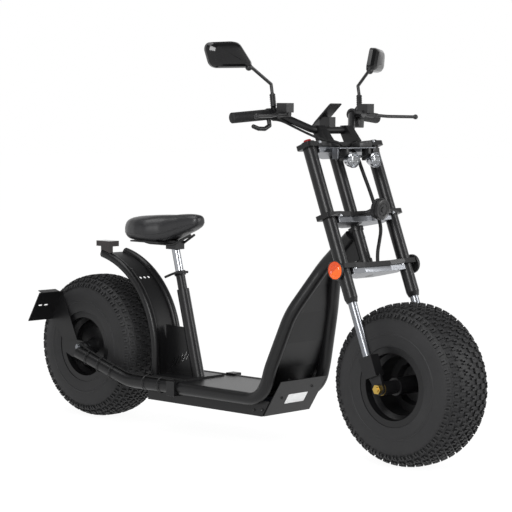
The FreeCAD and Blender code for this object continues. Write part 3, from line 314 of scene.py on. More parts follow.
@dataclass(frozen=True)
class ForkLine:
    """The fork legs' line: its foot beside the front axle and its rake."""

    foot_ahead: float = 1327.3
    foot_up: float = AXLE_UP
    rake: float = radians(21.07)

    def at(self, height: float, side: float, ahead: float = 0.0) -> Vector:
        """Place at a height along the legs, in millimetres.

        Args:
            height: up the legs from axle level.
            side: left of the middle.
            ahead: in front of the legs.

        Returns:
            The place in the row frame.
        """
        return at(self.foot_ahead - sin(self.rake) * height + cos(self.rake) * ahead, side,
                  self.foot_up + cos(self.rake) * height + sin(self.rake) * ahead)


FORK = ForkLine()


def link(name: str, data: bpy.types.ID) -> bpy.types.Object:
    """Puts an object of that data in the scene."""
    made = bpy.data.objects.new(name, data)
    bpy.context.scene.collection.objects.link(made)
    return made


def finish_mesh(form: bmesh.types.BMesh, name: str, body: str, slot: str,
                sharp: float = 35.0) -> bpy.types.Object:
    """Turns a bmesh to a shaded piece that rides on a body.

    Args:
        form: the mesh, in the row frame in metres. It is freed.
        name: the piece's name.
        body: the CAD body that it rides on.
        slot: the record's material slot; not used.
        sharp: the least angle of an edge that stays sharp, in degrees.

    Returns:
        The piece.
    """
    bmesh.ops.recalc_face_normals(form, faces=form.faces)
    mesh = bpy.data.meshes.new(name)
    form.to_mesh(mesh)
    form.free()
    mesh.shade_smooth()
    mesh.set_sharp_from_angle(angle=radians(sharp))
    piece = link(name, mesh)
    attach(piece, body)
    LOG.info("%s: %d faces on %s", name, len(mesh.polygons), body)
    return piece


def add_bar(form: bmesh.types.BMesh, start: Vector, end: Vector, radius: float, segments: int = 24,
            tip: float | None = None) -> None:
    """Adds a round bar, or a cone, between two points.

    Args:
        form: the mesh to add to.
        start: centre of one end.
        end: centre of the other end.
        radius: radius at the start.
        segments: sides round it.
        tip: radius at the end, where it differs.
    """
    run = end - start
    turn = run.to_track_quat("Z", "Y").to_matrix().to_4x4()
    bmesh.ops.create_cone(form, cap_ends=True, segments=segments, radius1=radius,
                          radius2=radius if tip is None else tip, depth=run.length,
                          matrix=Matrix.Translation((start + end) / 2) @ turn)


def add_ball(form: bmesh.types.BMesh, centre: Vector, radius: float) -> None:
    """Adds a ball."""
    bmesh.ops.create_uvsphere(form, u_segments=20, v_segments=12, radius=radius,
                              matrix=Matrix.Translation(centre))


def add_block(form: bmesh.types.BMesh, size: Vector, place: Matrix, round_off: float = 0.0) -> None:
    """Adds a block.

    Args:
        form: the mesh to add to.
        size: its three lengths.
        place: where its middle goes.
        round_off: radius of its edges, or 0 for sharp ones.
    """
    made = bmesh.ops.create_cube(form, size=1.0)["verts"]
    bmesh.ops.scale(form, vec=size, verts=made)
    if round_off:
        edges = list({e for v in made for e in v.link_edges})
        made = bmesh.ops.bevel(form, geom=edges, offset=round_off, segments=2, profile=0.5, affect="EDGES",
                               material=-1)["verts"]
    bmesh.ops.transform(form, matrix=place, verts=made)


def add_ring(form: bmesh.types.BMesh, centre: Vector, axis: Vector, radius: float, wire: float) -> None:
    """Adds a round ring of wire about an axis."""
    turn = axis.to_track_quat("Z", "Y").to_matrix().to_4x4()
    stand = Matrix.Translation((radius, 0, 0)) @ Matrix.Rotation(pi / 2, 4, "X")
    made = bmesh.ops.create_circle(form, cap_ends=False, segments=8, radius=wire,
                                   matrix=Matrix.Translation(centre) @ turn @ stand)["verts"]
    edges = list({e for v in made for e in v.link_edges})
    bmesh.ops.spin(form, geom=made + edges, cent=centre, axis=axis, angle=tau, steps=28, use_merge=True)


def add_turned(form: bmesh.types.BMesh, centre: Vector, axis: Vector, section: Pairs,
               steps: int = 40) -> None:
    """Adds a turned form.

    Args:
        form: the mesh to add to.
        centre: where its axis starts.
        axis: the axis, of length 1.
        section: its (distance along the axis, radius) points in millimetres.
        steps: sides round it.
    """
    out = axis.orthogonal().normalized()
    verts = [form.verts.new(centre + axis * along * MM + out * radius * MM) for along, radius in section]
    edges = [form.edges.new(pair) for pair in zip(verts, verts[1:])]
    bmesh.ops.spin(form, geom=verts + edges, cent=centre, axis=axis, angle=tau, steps=steps, use_merge=True)
    bmesh.ops.remove_doubles(form, verts=form.verts, dist=0.01 * MM)


def make_tube(name: str, path: list[Vector], radius: float, rounding: int,
              closed: bool = False) -> bpy.types.Object:
    """Makes a tube along a smooth line in the cage of some points.

    Args:
        name: the tube's name.
        path: the points, in the row frame.
        radius: the tube's radius.
        rounding: how finely it is rounded.
        closed: whether its end joins its start.

    Returns:
        The tube, as a mesh.
    """
    curve = bpy.data.curves.new(name + "_line", "CURVE")
    curve.dimensions = "3D"
    curve.bevel_depth = radius
    curve.bevel_resolution = rounding
    curve.use_fill_caps = not closed
    spline = curve.splines.new("NURBS")
    spline.points.add(len(path) - 1)
    for point, spot in zip(spline.points, path):
        point.co = (*spot, 1.0)
    spline.order_u = 3
    spline.use_cyclic_u = closed
    spline.use_endpoint_u = not closed
    line = link(name + "_line", curve)
    graph = bpy.context.evaluated_depsgraph_get()
    mesh = bpy.data.meshes.new_from_object(line.evaluated_get(graph))
    bpy.data.objects.remove(line)
    mesh.name = name
    mesh.shade_smooth()
    return link(name, mesh)


@dataclass
class BalloonTyre:
    """Low-pressure tyre with rows of horseshoe knobs, in the form of its CAD node."""

    node: str
    body: str
    knobs_round: int = 48
    rows_a_side: int = 5
    knob_height: float = 5.5 * MM
    knob_across: float = 14 * MM
    knob_round: float = 16 * MM
    knob_sink: float = 1.5 * MM
    slot_width: float = 5 * MM
    bridge: float = 4.5 * MM
    bridge_drop: float = 0.2 * MM
    bridge_inset: float = 1 * MM
    row_pitch: float = 20.5 * MM
    steps_round: int = 96
    # Half the section: share of the half width, millimetres below the crown
    stations: Pairs = ((0.0, 0.0), (0.16, 0.3), (0.33, 1.6), (0.5, 4.2), (0.66, 9.0), (0.79, 17.0),
                       (0.9, 29.0), (0.965, 45.0), (0.985, 66.0), (0.985, 78.0), (1.0, 80.0), (1.0, 83.0),
                       (0.985, 85.0), (0.98, 92.0), (0.97, 103.0), (0.94, 117.0))

    def __post_init__(self) -> None:
        """Takes the tyre's size and place from its CAD node."""
        low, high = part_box(self.node)
        self.centre = (low + high) / 2
        half_width = (high.y - low.y) / 2
        crown = (high.z - low.z) / 2 - self.knob_height
        self.side = [Vector((share * half_width, crown - drop * MM)) for share, drop in self.stations]

    def at(self, distance: float) -> tuple[Vector, float]:
        """Finds a place along the section.

        Args:
            distance: how far from the crown's middle, along the surface.

        Returns:
            The point as (across, radius) and the lean of the surface from level.
        """
        for a, b in zip(self.side, self.side[1:]):
            step = (b - a).length
            if distance <= step:
                return a.lerp(b, distance / step), atan2(a.y - b.y, b.x - a.x)
            distance -= step
        return self.side[-1], pi / 2

    def add_carcass(self, form: bmesh.types.BMesh) -> None:
        """Spins the section round the axle."""
        section = [Vector((-p.x, p.y)) for p in reversed(self.side[1:])] + self.side
        verts = [form.verts.new(self.centre + Vector((0, p.x, p.y))) for p in section]
        edges = [form.edges.new(pair) for pair in zip(verts, verts[1:])]
        bmesh.ops.spin(form, geom=verts + edges, cent=self.centre, axis=(0, 1, 0), angle=tau,
                       steps=self.steps_round, use_merge=True)

    def add_knob(self, form: bmesh.types.BMesh, distance: float, side: int, angle: float) -> None:
        """Adds one horseshoe knob: two legs across the tread and a bridge at their inner end."""
        point, lean = self.at(distance)
        turn = Matrix.Rotation(angle, 4, "Y")
        tilt = Matrix.Rotation(-side * lean, 4, "X")
        seat = Matrix.Translation(Vector((0, side * point.x, point.y)))
        height = self.knob_height + self.knob_sink
        rise = Matrix.Translation(Vector((0, 0, height / 2 - self.knob_sink)))
        place = Matrix.Translation(self.centre) @ turn @ seat @ tilt @ rise
        leg = (self.knob_round - self.slot_width) / 2
        for way in (1, -1):
            shift = Matrix.Translation(Vector((way * (self.slot_width + leg) / 2, 0, 0)))
            add_block(form, Vector((leg, self.knob_across, height)), place @ shift)
        inward = -side * (self.knob_across - self.bridge) / 2
        shift = Matrix.Translation(Vector((0, inward, -self.bridge_drop)))
        add_block(form, Vector((self.knob_round - self.bridge_inset, self.bridge, height)), place @ shift)

    def build(self, shop: Paintshop) -> None:
        """Builds the dressed tyre in place of its CAD node.

        Args:
            shop: where the finish comes from.
        """
        form = bmesh.new()
        self.add_carcass(form)
        for row in range(self.rows_a_side):
            for side, _ in SIDES:
                shift = 0.5 * ((row + (side < 0)) % 2)
                for step in range(self.knobs_round):
                    angle = tau * (step + shift) / self.knobs_round
                    self.add_knob(form, (row + 0.5) * self.row_pitch, side, angle)
        piece = finish_mesh(form, self.node + "_tread", self.body, "tyre_rubber", sharp=28.0)
        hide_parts(self.node)
        shop.coat(piece, TYRE_RUBBER)


@dataclass
class PaddedSaddle:
    """Saddle cover: foam under vinyl, full at the back and drawn in to the nose."""

    node: str = "saddle"
    body: str = "seat"
    foot_ahead: float = 457.0
    base_up: float = 606.0
    # Place ahead of the seat tube's foot, half width, height of the underside and of the crown above the base
    sections: Pairs = ((-300, 34, 24, 68), (-290, 56, 14, 75), (-268, 76, 9, 80), (-240, 92, 7, 83),
                       (-200, 101, 6, 86), (-160, 97, 6, 88), (-112, 64, 10, 90), (-60, 43, 32, 95),
                       (-20, 35, 46, 98), (4, 28, 57, 97), (14, 16, 64, 92))
    # Half a section: share of the half width, share of the height
    outline: Pairs = ((0.78, 0.0), (1.0, 0.26), (1.0, 0.58), (0.84, 0.88), (0.46, 1.0))
    voxel: float = 5 * MM
    pressure: float = 4.0
    most_move: float = 2 * MM
    frames: int = 8
    soften_steps: int = 10
    settle_steps: int = 14
    # The welt's radius, and its share of the height; its path starts a little outside the cover
    welt_radius: float = 1.8 * MM
    welt_rise: float = 0.28
    welt_out: float = 1.1

    def _loft(self) -> bmesh.types.BMesh:
        """Bridges the sections to a closed form.

        Returns:
            The form.
        """
        form = bmesh.new()
        loops = []
        for ahead, half, low, crown in self.sections:
            left = [(half * wide, low + (crown - low) * rise) for wide, rise in self.outline]
            right = [(-side, up) for side, up in reversed(left)]
            ring = [form.verts.new(at(self.foot_ahead + ahead, side, self.base_up + up))
                    for side, up in left + right]
            loops.append([form.edges.new(pair) for pair in zip(ring, ring[1:] + ring[:1])])
        for one, two in zip(loops, loops[1:]):
            bmesh.ops.bridge_loops(form, edges=one + two)
        bmesh.ops.holes_fill(form, edges=loops[0] + loops[-1], sides=0)
        bmesh.ops.recalc_face_normals(form, faces=form.faces)
        return form

    def build(self, shop: Paintshop) -> None:
        """Evens the loft's mesh, blows it up a little as cloth and smooths it.

        Args:
            shop: where the finish comes from.
        """
        mesh = bpy.data.meshes.new("saddle_cover")
        form = self._loft()
        form.to_mesh(mesh)
        form.free()
        piece = link("saddle_cover", mesh)
        bpy.context.view_layer.objects.active = piece
        remesh = piece.modifiers.new("even", "REMESH")
        remesh.mode = "VOXEL"
        remesh.voxel_size = self.voxel
        self._smooth(piece, self.soften_steps)
        self._fill(piece)
        self._welt(piece, shop)
        finer = piece.modifiers.new("finer", "SUBSURF")
        finer.levels = 1
        finer.render_levels = 1
        piece.data.shade_smooth()
        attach(piece, self.body)
        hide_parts(self.node)
        shop.coat(piece, SADDLE_VINYL)
        LOG.info("saddle_cover: %d faces on %s", len(piece.data.polygons), self.body)

    def _bake(self, piece: bpy.types.Object) -> None:
        """Applies what the modifiers make now to the piece's own mesh."""
        graph = bpy.context.evaluated_depsgraph_get()
        baked = bpy.data.meshes.new_from_object(piece.evaluated_get(graph))
        piece.modifiers.clear()
        piece.data = baked

    def _smooth(self, piece: bpy.types.Object, steps: int) -> None:
        """Smooths the cover, after any modifier that it has, and applies both."""
        smooth = piece.modifiers.new("soften", "SMOOTH")
        smooth.iterations = steps
        smooth.factor = 0.6
        self._bake(piece)

    def _fill(self, piece: bpy.types.Object) -> None:
        """Runs the cloth, caps how far any point has moved and smooths out its creases."""
        start = [v.co.copy() for v in piece.data.vertices]
        cloth = piece.modifiers.new("foam", "CLOTH")
        cloth.settings.use_pressure = True
        cloth.settings.uniform_pressure_force = self.pressure
        cloth.settings.effector_weights.gravity = 0.0
        scene = bpy.context.scene
        for step in range(1, self.frames + 1):
            scene.frame_set(step)
        self._bake(piece)
        scene.frame_set(1)
        for vertex, rest in zip(piece.data.vertices, start):
            move = vertex.co - rest
            if move.length > self.most_move:
                vertex.co = rest + move.normalized() * self.most_move
        self._smooth(piece, self.settle_steps)

    def _welt(self, cover: bpy.types.Object, shop: Paintshop) -> None:
        """Lays a welted seam round the cover, low on its sides."""
        left = []
        for ahead, half, low, crown in self.sections:
            up = self.base_up + low + (crown - low) * self.welt_rise
            left.append(at(self.foot_ahead + ahead, half * self.welt_out, up))
        right = [Vector((p.x, -p.y, p.z)) for p in reversed(left)]
        bpy.context.evaluated_depsgraph_get().update()
        path = [cover.closest_point_on_mesh(spot)[1] for spot in left + right]
        piece = make_tube("saddle_welt", path, self.welt_radius, 3, closed=True)
        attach(piece, self.body)
        shop.coat(piece, SADDLE_VINYL)


@dataclass
class Mirrors:
    """Both mirrors, where the CAD node is: ribbed boots, bent stems, balls, rounded shells and glass."""

    centre: tuple = (905.0, 330.0, 1200.0)
    toe_degrees: float = 25.0
    half_width: float = 75.0
    half_height: float = 42.0
    # Corners as shares of the half width, outer side first, and half height
    outline: Pairs = ((-1.0, 0.5), (-0.86, 0.9), (0.15, 1.0), (0.45, 0.88), (1.0, -0.55), (0.9, -0.84),
                      (-0.58, -0.9), (-0.8, -0.66))
    # Depth behind the glass and share of the outline
    steps: Pairs = ((12.0, 0.985), (22.0, 0.88), (29.0, 0.68), (32.0, 0.42))
    shell_corner: float = 9 * MM
    glass_corner: float = 8 * MM
    glass_proud: float = 0.8
    glass_wide: float = 0.93
    glass_high: float = 0.9
    # The left stem's points, foot to ball
    foot: tuple = (966, 197, 1054)
    boot_top: tuple = (963, 199, 1090)
    bend: tuple = (958, 199, 1118)
    head: tuple = (943, 272, 1169)
    ball: tuple = (941, 277, 1167)
    boot_ribs: int = 6
    stem_radius: float = 5 * MM
    ball_radius: float = 11 * MM

    def _place(self, side: int) -> Matrix:
        """Gives the place and turn of one mirror."""
        ahead, out, up = self.centre
        toe = Matrix.Rotation(side * radians(self.toe_degrees), 4, "Z")
        return Matrix.Translation(at(ahead, side * out, up)) @ toe

    def _shell(self, form: bmesh.types.BMesh, side: int) -> None:
        """Adds one shell, rounded at its corners and drawn in behind."""
        corners = [form.verts.new(Vector((0, -side * u * self.half_width, v * self.half_height)) * MM)
                   for u, v in self.outline]
        form.faces.new(corners)
        bmesh.ops.bevel(form, geom=corners, offset=self.shell_corner, segments=5, profile=0.5,
                        affect="VERTICES", material=-1)
        face = max(form.faces, key=lambda f: f.calc_area())
        made = list(face.verts)
        widest = max(v.co.yz.length for v in face.verts)
        for depth, share in self.steps:
            ring = bmesh.ops.extrude_face_region(form, geom=[face])["geom"]
            face = next(g for g in ring if isinstance(g, bmesh.types.BMFace))
            factor = share * widest / max(v.co.yz.length for v in face.verts)
            for vertex in face.verts:
                vertex.co = Vector((depth * MM, vertex.co.y * factor, vertex.co.z * factor))
            made += list(face.verts)
        bmesh.ops.transform(form, matrix=self._place(side), verts=made)

    def _glass(self, form: bmesh.types.BMesh, side: int) -> None:
        """Adds one glass, a little inside the rim of its shell."""
        wide, high = self.half_width * self.glass_wide, self.half_height * self.glass_high
        corners = [form.verts.new(Vector((-self.glass_proud, -side * u * wide, v * high)) * MM)
                   for u, v in self.outline]
        form.faces.new(corners)
        made = bmesh.ops.bevel(form, geom=corners, offset=self.glass_corner, segments=5, profile=0.5,
                               affect="VERTICES", material=-1)["verts"]
        bmesh.ops.transform(form, matrix=self._place(side), verts=made)

    def _stem(self, form: bmesh.types.BMesh, side: int) -> None:
        """Adds the boot's ribs, the bent stem and the ball."""
        foot, top, bend, head, ball = (at(ahead, side * out, up) for ahead, out, up in
                                       (self.foot, self.boot_top, self.bend, self.head, self.ball))
        for step in range(self.boot_ribs):
            low, high = foot.lerp(top, step / self.boot_ribs), foot.lerp(top, (step + 1) / self.boot_ribs)
            add_bar(form, low, high, 9.4 * MM, tip=7.6 * MM)
        add_bar(form, top, bend, self.stem_radius)
        add_ball(form, bend, self.stem_radius)
        add_bar(form, bend, head, self.stem_radius)
        add_ball(form, ball, self.ball_radius)

    def build(self, shop: Paintshop) -> None:
        """Builds shells, stems and glass on the fork.

        Args:
            shop: where the finishes come from.
        """
        solid = []
        for side, name in SIDES:
            form = bmesh.new()
            self._shell(form, side)
            solid.append(finish_mesh(form, "mirror_shell_" + name, "fork", "black_plastic", sharp=50.0))
            shop.coat(solid[-1], GLOSS_ABS)
        stems, glass = bmesh.new(), bmesh.new()
        for side, _ in SIDES:
            self._stem(stems, side)
            self._glass(glass, side)
        solid.append(finish_mesh(stems, "mirror_stems", "fork", "black_plastic"))
        shop.coat(solid[-1], ABS)
        shop.coat(finish_mesh(glass, "mirror_glass", "fork", "black_plastic"), MIRROR_GLASS)
        for piece in solid:
            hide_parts("mirrors")


@dataclass
class Headlamps:
    """Two chromed bowls with reflectors, bulbs and pressed glass, where the CAD node is."""

    ahead: float = 1125.0
    half_spacing: float = 51.0
    up: float = 895.0
    # Bowl, rim and reflector: distance along the lamp and radius
    bowl: Pairs = ((0, 0), (0, 11), (4, 14), (14, 19.5), (25, 22), (26, 23), (33, 23), (34, 22.4), (34, 21),
                   (32, 20.4), (24, 18), (15, 13), (9.5, 6), (9, 0))
    lens: Pairs = ((31.0, 20.3), (32.5, 19.5), (34.5, 14), (35.6, 7), (36, 0))
    clamp: tuple = (28, 12, 37)
    clamp_back: float = 6.0
    clamp_rise: float = 15.5

    def build(self, shop: Paintshop) -> None:
        """Builds both lamps on the fork.

        Args:
            shop: where the finishes come from.
        """
        bowls, lenses, bulbs, clamps = bmesh.new(), bmesh.new(), bmesh.new(), bmesh.new()
        axis = Vector((1, 0, 0))
        for side, _ in SIDES:
            centre = at(self.ahead, side * self.half_spacing, self.up)
            neck = at(self.ahead - self.clamp_back, side * self.half_spacing, self.up + self.clamp_rise)
            add_turned(bowls, centre, axis, self.bowl)
            add_block(clamps, Vector(self.clamp) * MM, Matrix.Translation(neck), 1.5 * MM)
            add_turned(lenses, centre, axis, self.lens)
            add_bar(bulbs, centre + axis * 9 * MM, centre + axis * 17 * MM, 3.2 * MM)
            add_ball(bulbs, centre + axis * 19 * MM, 4.2 * MM)
        bowl = finish_mesh(bowls, "headlamp_bowls", "fork", "chrome")
        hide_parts("headlights")
        shop.coat(bowl, CHROME)
        shop.coat(finish_mesh(clamps, "headlamp_clamps", "fork", "black_plastic"), ABS)
        shop.coat(finish_mesh(lenses, "headlamp_glass", "fork", "chrome"), LAMP_GLASS)
        shop.coat(finish_mesh(bulbs, "headlamp_bulbs", "fork", "chrome"), BLANK_PLATE)


@dataclass
class SideReflectors:
    """Amber lenses in black cups at the ends of the lower yoke, where the CAD node is."""

    height: float = 361.0
    inner: float = 173.4
    thick: float = 8.0
    radius: float = 29.0
    lens_radius: float = 26.5
    # The slanted line through the lens centre between its painted light and its painted shade
    light_shade_split: tuple = (0.62, 0, -0.78)
    steps_round: int = 48

    def build(self, shop: Paintshop) -> None:
        """Builds both reflectors, each lens in a lighter and a deeper amber on either side of a slanted line,
        which are painted light and painted shade.

        Args:
            shop: where the finishes come from.
        """
        thick, outer, lens_outer = self.thick, self.radius, self.lens_radius
        # Distance along the axis and radius
        cup = ((0, 0), (0, outer - 2), (1.5, outer), (thick - 1, outer), (thick, outer - 1),
               (thick, lens_outer), (3, lens_outer), (3, 0))
        lens = ((3, lens_outer - 0.2), (thick - 1.5, lens_outer - 0.2), (thick - 0.6, lens_outer - 1.5),
                (thick - 0.6, 17), (thick - 1.4, 16), (thick - 0.2, 14.5), (thick - 0.2, 0))
        light_shade_split = Vector(self.light_shade_split)
        seats = [(FORK.at(self.height, side * self.inner), Vector((0, side, 0))) for side, _ in SIDES]
        form = bmesh.new()
        for start, out in seats:
            add_turned(form, start, out, cup, self.steps_round)
        done = set(form.faces)
        for start, out in seats:
            add_turned(form, start, out, lens, self.steps_round)
            fresh = [f for f in form.faces if f not in done]
            geom = (fresh + list({e for f in fresh for e in f.edges})
                    + list({v for f in fresh for v in f.verts}))
            bmesh.ops.bisect_plane(form, geom=geom, dist=1e-7, plane_co=start, plane_no=light_shade_split)
            # Faces on one side of the slanted line get the lighter amber and the rest get the deeper amber:
            # painted light and painted shade on one lens
            for face in form.faces:
                if face not in done:
                    face.material_index = 1 if (face.calc_center_median() - start).dot(light_shade_split) > 0 else 2
            done = set(form.faces)
        piece = finish_mesh(form, "reflector_lenses", "fork", "amber_lens")
        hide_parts("side_reflectors")
        shop.coat(piece, ABS, AMBER_PAINTED_LIGHT, AMBER_PAINTED_SHADE)


@dataclass
class Controls:
    """Switch box, thumb throttle, lever balls, display glass, relay boxes and the horn's face."""

    inner: tuple = (956.0, 172.0, 1031.0)
    tip: tuple = (925.0, 327.0, 1018.0)
    lever_tip: tuple = (1056.0, 364.0, 1023.0)
    lever_ball: float = 8 * MM
    grip: float = 125.0
    ring_half: float = 4.6
    ring_gap: float = 0.2
    ring_radius: float = 18.5 * MM
    switch_drop: float = 27.0
    button_shifts: tuple = (-9, 2, 12)
    paddle_radius: float = 6.5 * MM
    # The throttle paddle's points from its ring's middle: down, ahead, outwards
    paddle: Pairs = ((14, 0, 0), (33, 4, 0), (41, 8, 20), (38, 12, 46), (30, 15, 66))
    display_foot: tuple = (968, -5, 992)
    display_lean: float = radians(48)
    # Size, place and edge radius of the box under the lamp plate and the one on it
    relays: tuple = (((24, 30, 17), (1112, 92, 920.6), 1.5), ((32, 58, 14), (1112, 38, 938.8), 2.0))
    # Distance along the horn and radius
    horn: Pairs = ((21, 30.5), (23.5, 30), (24.5, 28), (23, 25), (23, 20), (24.6, 18), (23, 16), (23, 9),
                   (26, 8), (26.5, 0))

    def _ring(self, form: bmesh.types.BMesh) -> tuple[Vector, Vector, Vector]:
        """Adds the clamp ring at the left grip's inner end.

        Args:
            form: the mesh to add to.

        Returns:
            The ring's middle in millimetres, the way outwards along the bar and the way ahead.
        """
        inner, tip = Vector(self.inner), Vector(self.tip)
        way = (tip - inner).normalized()
        centre = tip - way * (self.grip + self.ring_half + self.ring_gap)
        ends = (at(*(centre + way * end)) for end in (-self.ring_half, self.ring_half))
        add_bar(form, *ends, self.ring_radius, 32)
        return centre, way, Vector((way.y, -way.x, 0)).normalized()

    def _switch_box(self, form: bmesh.types.BMesh) -> None:
        """Adds the left switch housing with its buttons."""
        centre, way, ahead = self._ring(form)
        turn = Matrix((ahead, way, ahead.cross(way))).transposed().to_4x4()
        place = Matrix.Translation(at(*centre)) @ turn
        box = place @ Matrix.Translation(Vector((6, -6, -self.switch_drop)) * MM)
        add_block(form, Vector((38, 34, 26)) * MM, box, 3 * MM)
        for shift in self.button_shifts:
            key = place @ Matrix.Translation(Vector((-14.5, -6 + shift, -self.switch_drop)) * MM)
            add_block(form, Vector((6, 7, 9)) * MM, key, 1 * MM)

    def _throttle(self, form: bmesh.types.BMesh) -> None:
        """Adds the right thumb throttle: a ring round the bar and a curved paddle below it."""
        before = set(form.verts)
        centre, way, ahead = self._ring(form)
        path = [centre + Vector((0, 0, -down)) + ahead * forth + way * out
                for down, forth, out in self.paddle]
        for a, b in zip(path, path[1:]):
            add_bar(form, at(*a), at(*b), self.paddle_radius, 16)
            add_ball(form, at(*b), self.paddle_radius)
        flip = Matrix.Scale(-1, 4, (0, 1, 0))
        bmesh.ops.transform(form, matrix=flip, verts=[v for v in form.verts if v not in before])

    def build(self, shop: Paintshop) -> None:
        """Builds the small controls on the fork.

        Args:
            shop: where the finishes come from.
        """
        form = bmesh.new()
        self._throttle(form)
        self._switch_box(form)
        shop.coat(finish_mesh(form, "switchgear", "fork", "black_plastic"), ABS)
        form = bmesh.new()
        ahead, out, up = self.lever_tip
        for side, _ in SIDES:
            add_ball(form, at(ahead, side * out, up), self.lever_ball)
        shop.coat(finish_mesh(form, "lever_balls", "fork", "black_alloy"), BLACK_ALLOY)
        form = bmesh.new()
        lean = Matrix.Translation(at(*self.display_foot)) @ Matrix.Rotation(self.display_lean, 4, "Y")
        add_block(form, Vector((3, 46, 84)) * MM, lean @ Matrix.Translation(Vector((-3, 0, 56)) * MM), 1 * MM)
        shop.coat(finish_mesh(form, "display_glass", "fork", "black_plastic"), SMOKED_GLASS)
        form = bmesh.new()
        for size, place, edge in self.relays:
            add_block(form, Vector(size) * MM, Matrix.Translation(at(*place)), edge * MM)
        shop.coat(finish_mesh(form, "relay_boxes", "fork", "black_plastic"), ABS)
        form = bmesh.new()
        add_turned(form, FORK.at(523, 10, 62), Vector((1, 0, -0.1)).normalized(), self.horn)
        shop.coat(finish_mesh(form, "horn_face", "fork", "black_plastic"), BOLT_BLACK)


@dataclass
class Cabling:
    """Loom held at the lamp plate and two yokes, hoses under the bar, motor cable on the right stay."""

    # Loom down the fork: height along the legs, left of the middle, ahead of the legs
    loom: Pairs = ((722, 22, 22), (700, 22, 34), (656, 28, 32), (582, 43, 28), (516, 50, 25), (472, 48, 27),
                   (428, 22, 24), (398, 10, 16), (373, 8, 10))
    loom_radius: float = 5.5 * MM
    # Motor cable: ahead of the rear axle, left of the middle, above the floor
    motor: Pairs = ((-8, -111, 246), (10, -118, 262), (40, -124, 246), (100, -125, 226.0), (160, -125, 208.5),
                    (220, -125, 191.0), (262, -126, 180), (330, -127, 178.5), (440, -127, 178.5),
                    (476, -127, 178.5))
    motor_radius: float = 3.6 * MM
    # Lever hose along the bar's underside to the lamp plate, on the left side
    hose: Pairs = ((966, 205, 1016), (966, 176, 1017), (989, 133, 993.5), (1030, 92, 966), (1062, 80, 956),
                   (1084, 58, 952), (1087, 28, 944), (1087, 25, 931))
    hose_radius: float = 2.6 * MM
    # How far ahead and down each of the two hoses of a side is moved
    hose_shifts: Pairs = ((0, 0), (5, 4))
    # The right stay: its side, the place and height of its bend, and its rise towards the axle
    stay_side: float = -127.0
    stay_bend: float = 262.0
    stay_up: float = 157.0
    stay_rise: float = 0.2886
    slope: tuple = (-246, 0, 71)
    ties_on_slope: tuple = (70.0, 130.0, 190.0)
    ties_on_level: tuple = (350.0, 420.0)
    tie_radius: float = 24.5 * MM
    tie_wire: float = 1.5 * MM

    def _run(self, name: str, path: list[Vector], radius: float, body: str, shop: Paintshop) -> None:
        """Makes one cable on a body."""
        piece = make_tube(name, path, radius, 4)
        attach(piece, body)
        shop.coat(piece, CABLE_SLEEVE)
        LOG.info("%s on %s", name, body)

    def build(self, shop: Paintshop) -> None:
        """Builds the cables and their ties.

        Args:
            shop: where the finishes come from.
        """
        self._run("fork_loom", [FORK.at(*spot) for spot in self.loom], self.loom_radius, "fork", shop)
        self._run("motor_cable", [at(*spot) for spot in self.motor], self.motor_radius, "frame", shop)
        for side, name in SIDES:
            for number, (ahead, down) in enumerate(self.hose_shifts, 1):
                path = [at(x + ahead, side * y, z - down) for x, y, z in self.hose]
                self._run(f"bar_hose_{name}_{number}", path, self.hose_radius, "fork", shop)
        form = bmesh.new()
        for ahead in self.ties_on_slope:
            up = self.stay_up + self.stay_rise * (self.stay_bend - ahead)
            slope = Vector(self.slope).normalized()
            add_ring(form, at(ahead, self.stay_side, up), slope, self.tie_radius, self.tie_wire)
        for ahead in self.ties_on_level:
            level = Vector((1, 0, 0))
            add_ring(form, at(ahead, self.stay_side, self.stay_up), level, self.tie_radius, self.tie_wire)
        shop.coat(finish_mesh(form, "cable_ties", "frame", "black_plastic"), ABS)


@dataclass(frozen=True)
class PhotoCamera:
    """Where the photograph was taken from, and its field of view."""

    place: tuple = (4.1169, -4.3301, 1.0373)
    yaw_degrees: float = 133.244
    pitch_degrees: float = 4.363
    roll_degrees: float = 0.316
    focal_pixels: float = 1894.5

    def matrix(self) -> Matrix:
        """Gives the camera's place and turn."""
        yaw, pitch = radians(self.yaw_degrees), radians(self.pitch_degrees)
        ahead = Vector((cos(pitch) * cos(yaw), cos(pitch) * sin(yaw), -sin(pitch)))
        turn = ahead.to_track_quat("-Z", "Y").to_matrix().to_4x4()
        return Matrix.Translation(self.place) @ turn @ Matrix.Rotation(radians(self.roll_degrees), 4, "Z")

    def hit(self, pixel: tuple[float, float], node: str, side: int = 1) -> tuple[Vector, Vector] | None:
        """Finds where the line of sight through a pixel meets a CAD node.

        Args:
            pixel: the pixel of the 512 x 512 photograph.
            node: the CAD node.
            side: -1 for the mirror image of that line.

        Returns:
            The place and the surface's outward direction, or None where it misses.
        """
        half = PHOTO_WIDTH / 2
        way = Vector(((pixel[0] - half) / self.focal_pixels, (half - pixel[1]) / self.focal_pixels, -1.0))
        place = self.matrix()
        ray = (place.to_3x3() @ way).normalized()
        start = place.translation.copy()
        if side < 0:
            ray.y, start.y = -ray.y, -start.y
        found, spot, out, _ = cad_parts[node].ray_cast(start, ray)
        if not found:
            LOG.warning("no %s at pixel %s", node, pixel)
            return None
        return spot, out if out.dot(ray) < 0 else -out


@dataclass(frozen=True)
class Bolt:
    """A fastener: its pixel, its node, its head's radius and whether the other side has one too."""

    pixel: tuple[float, float]
    node: str
    radius: float
    pair: bool = True


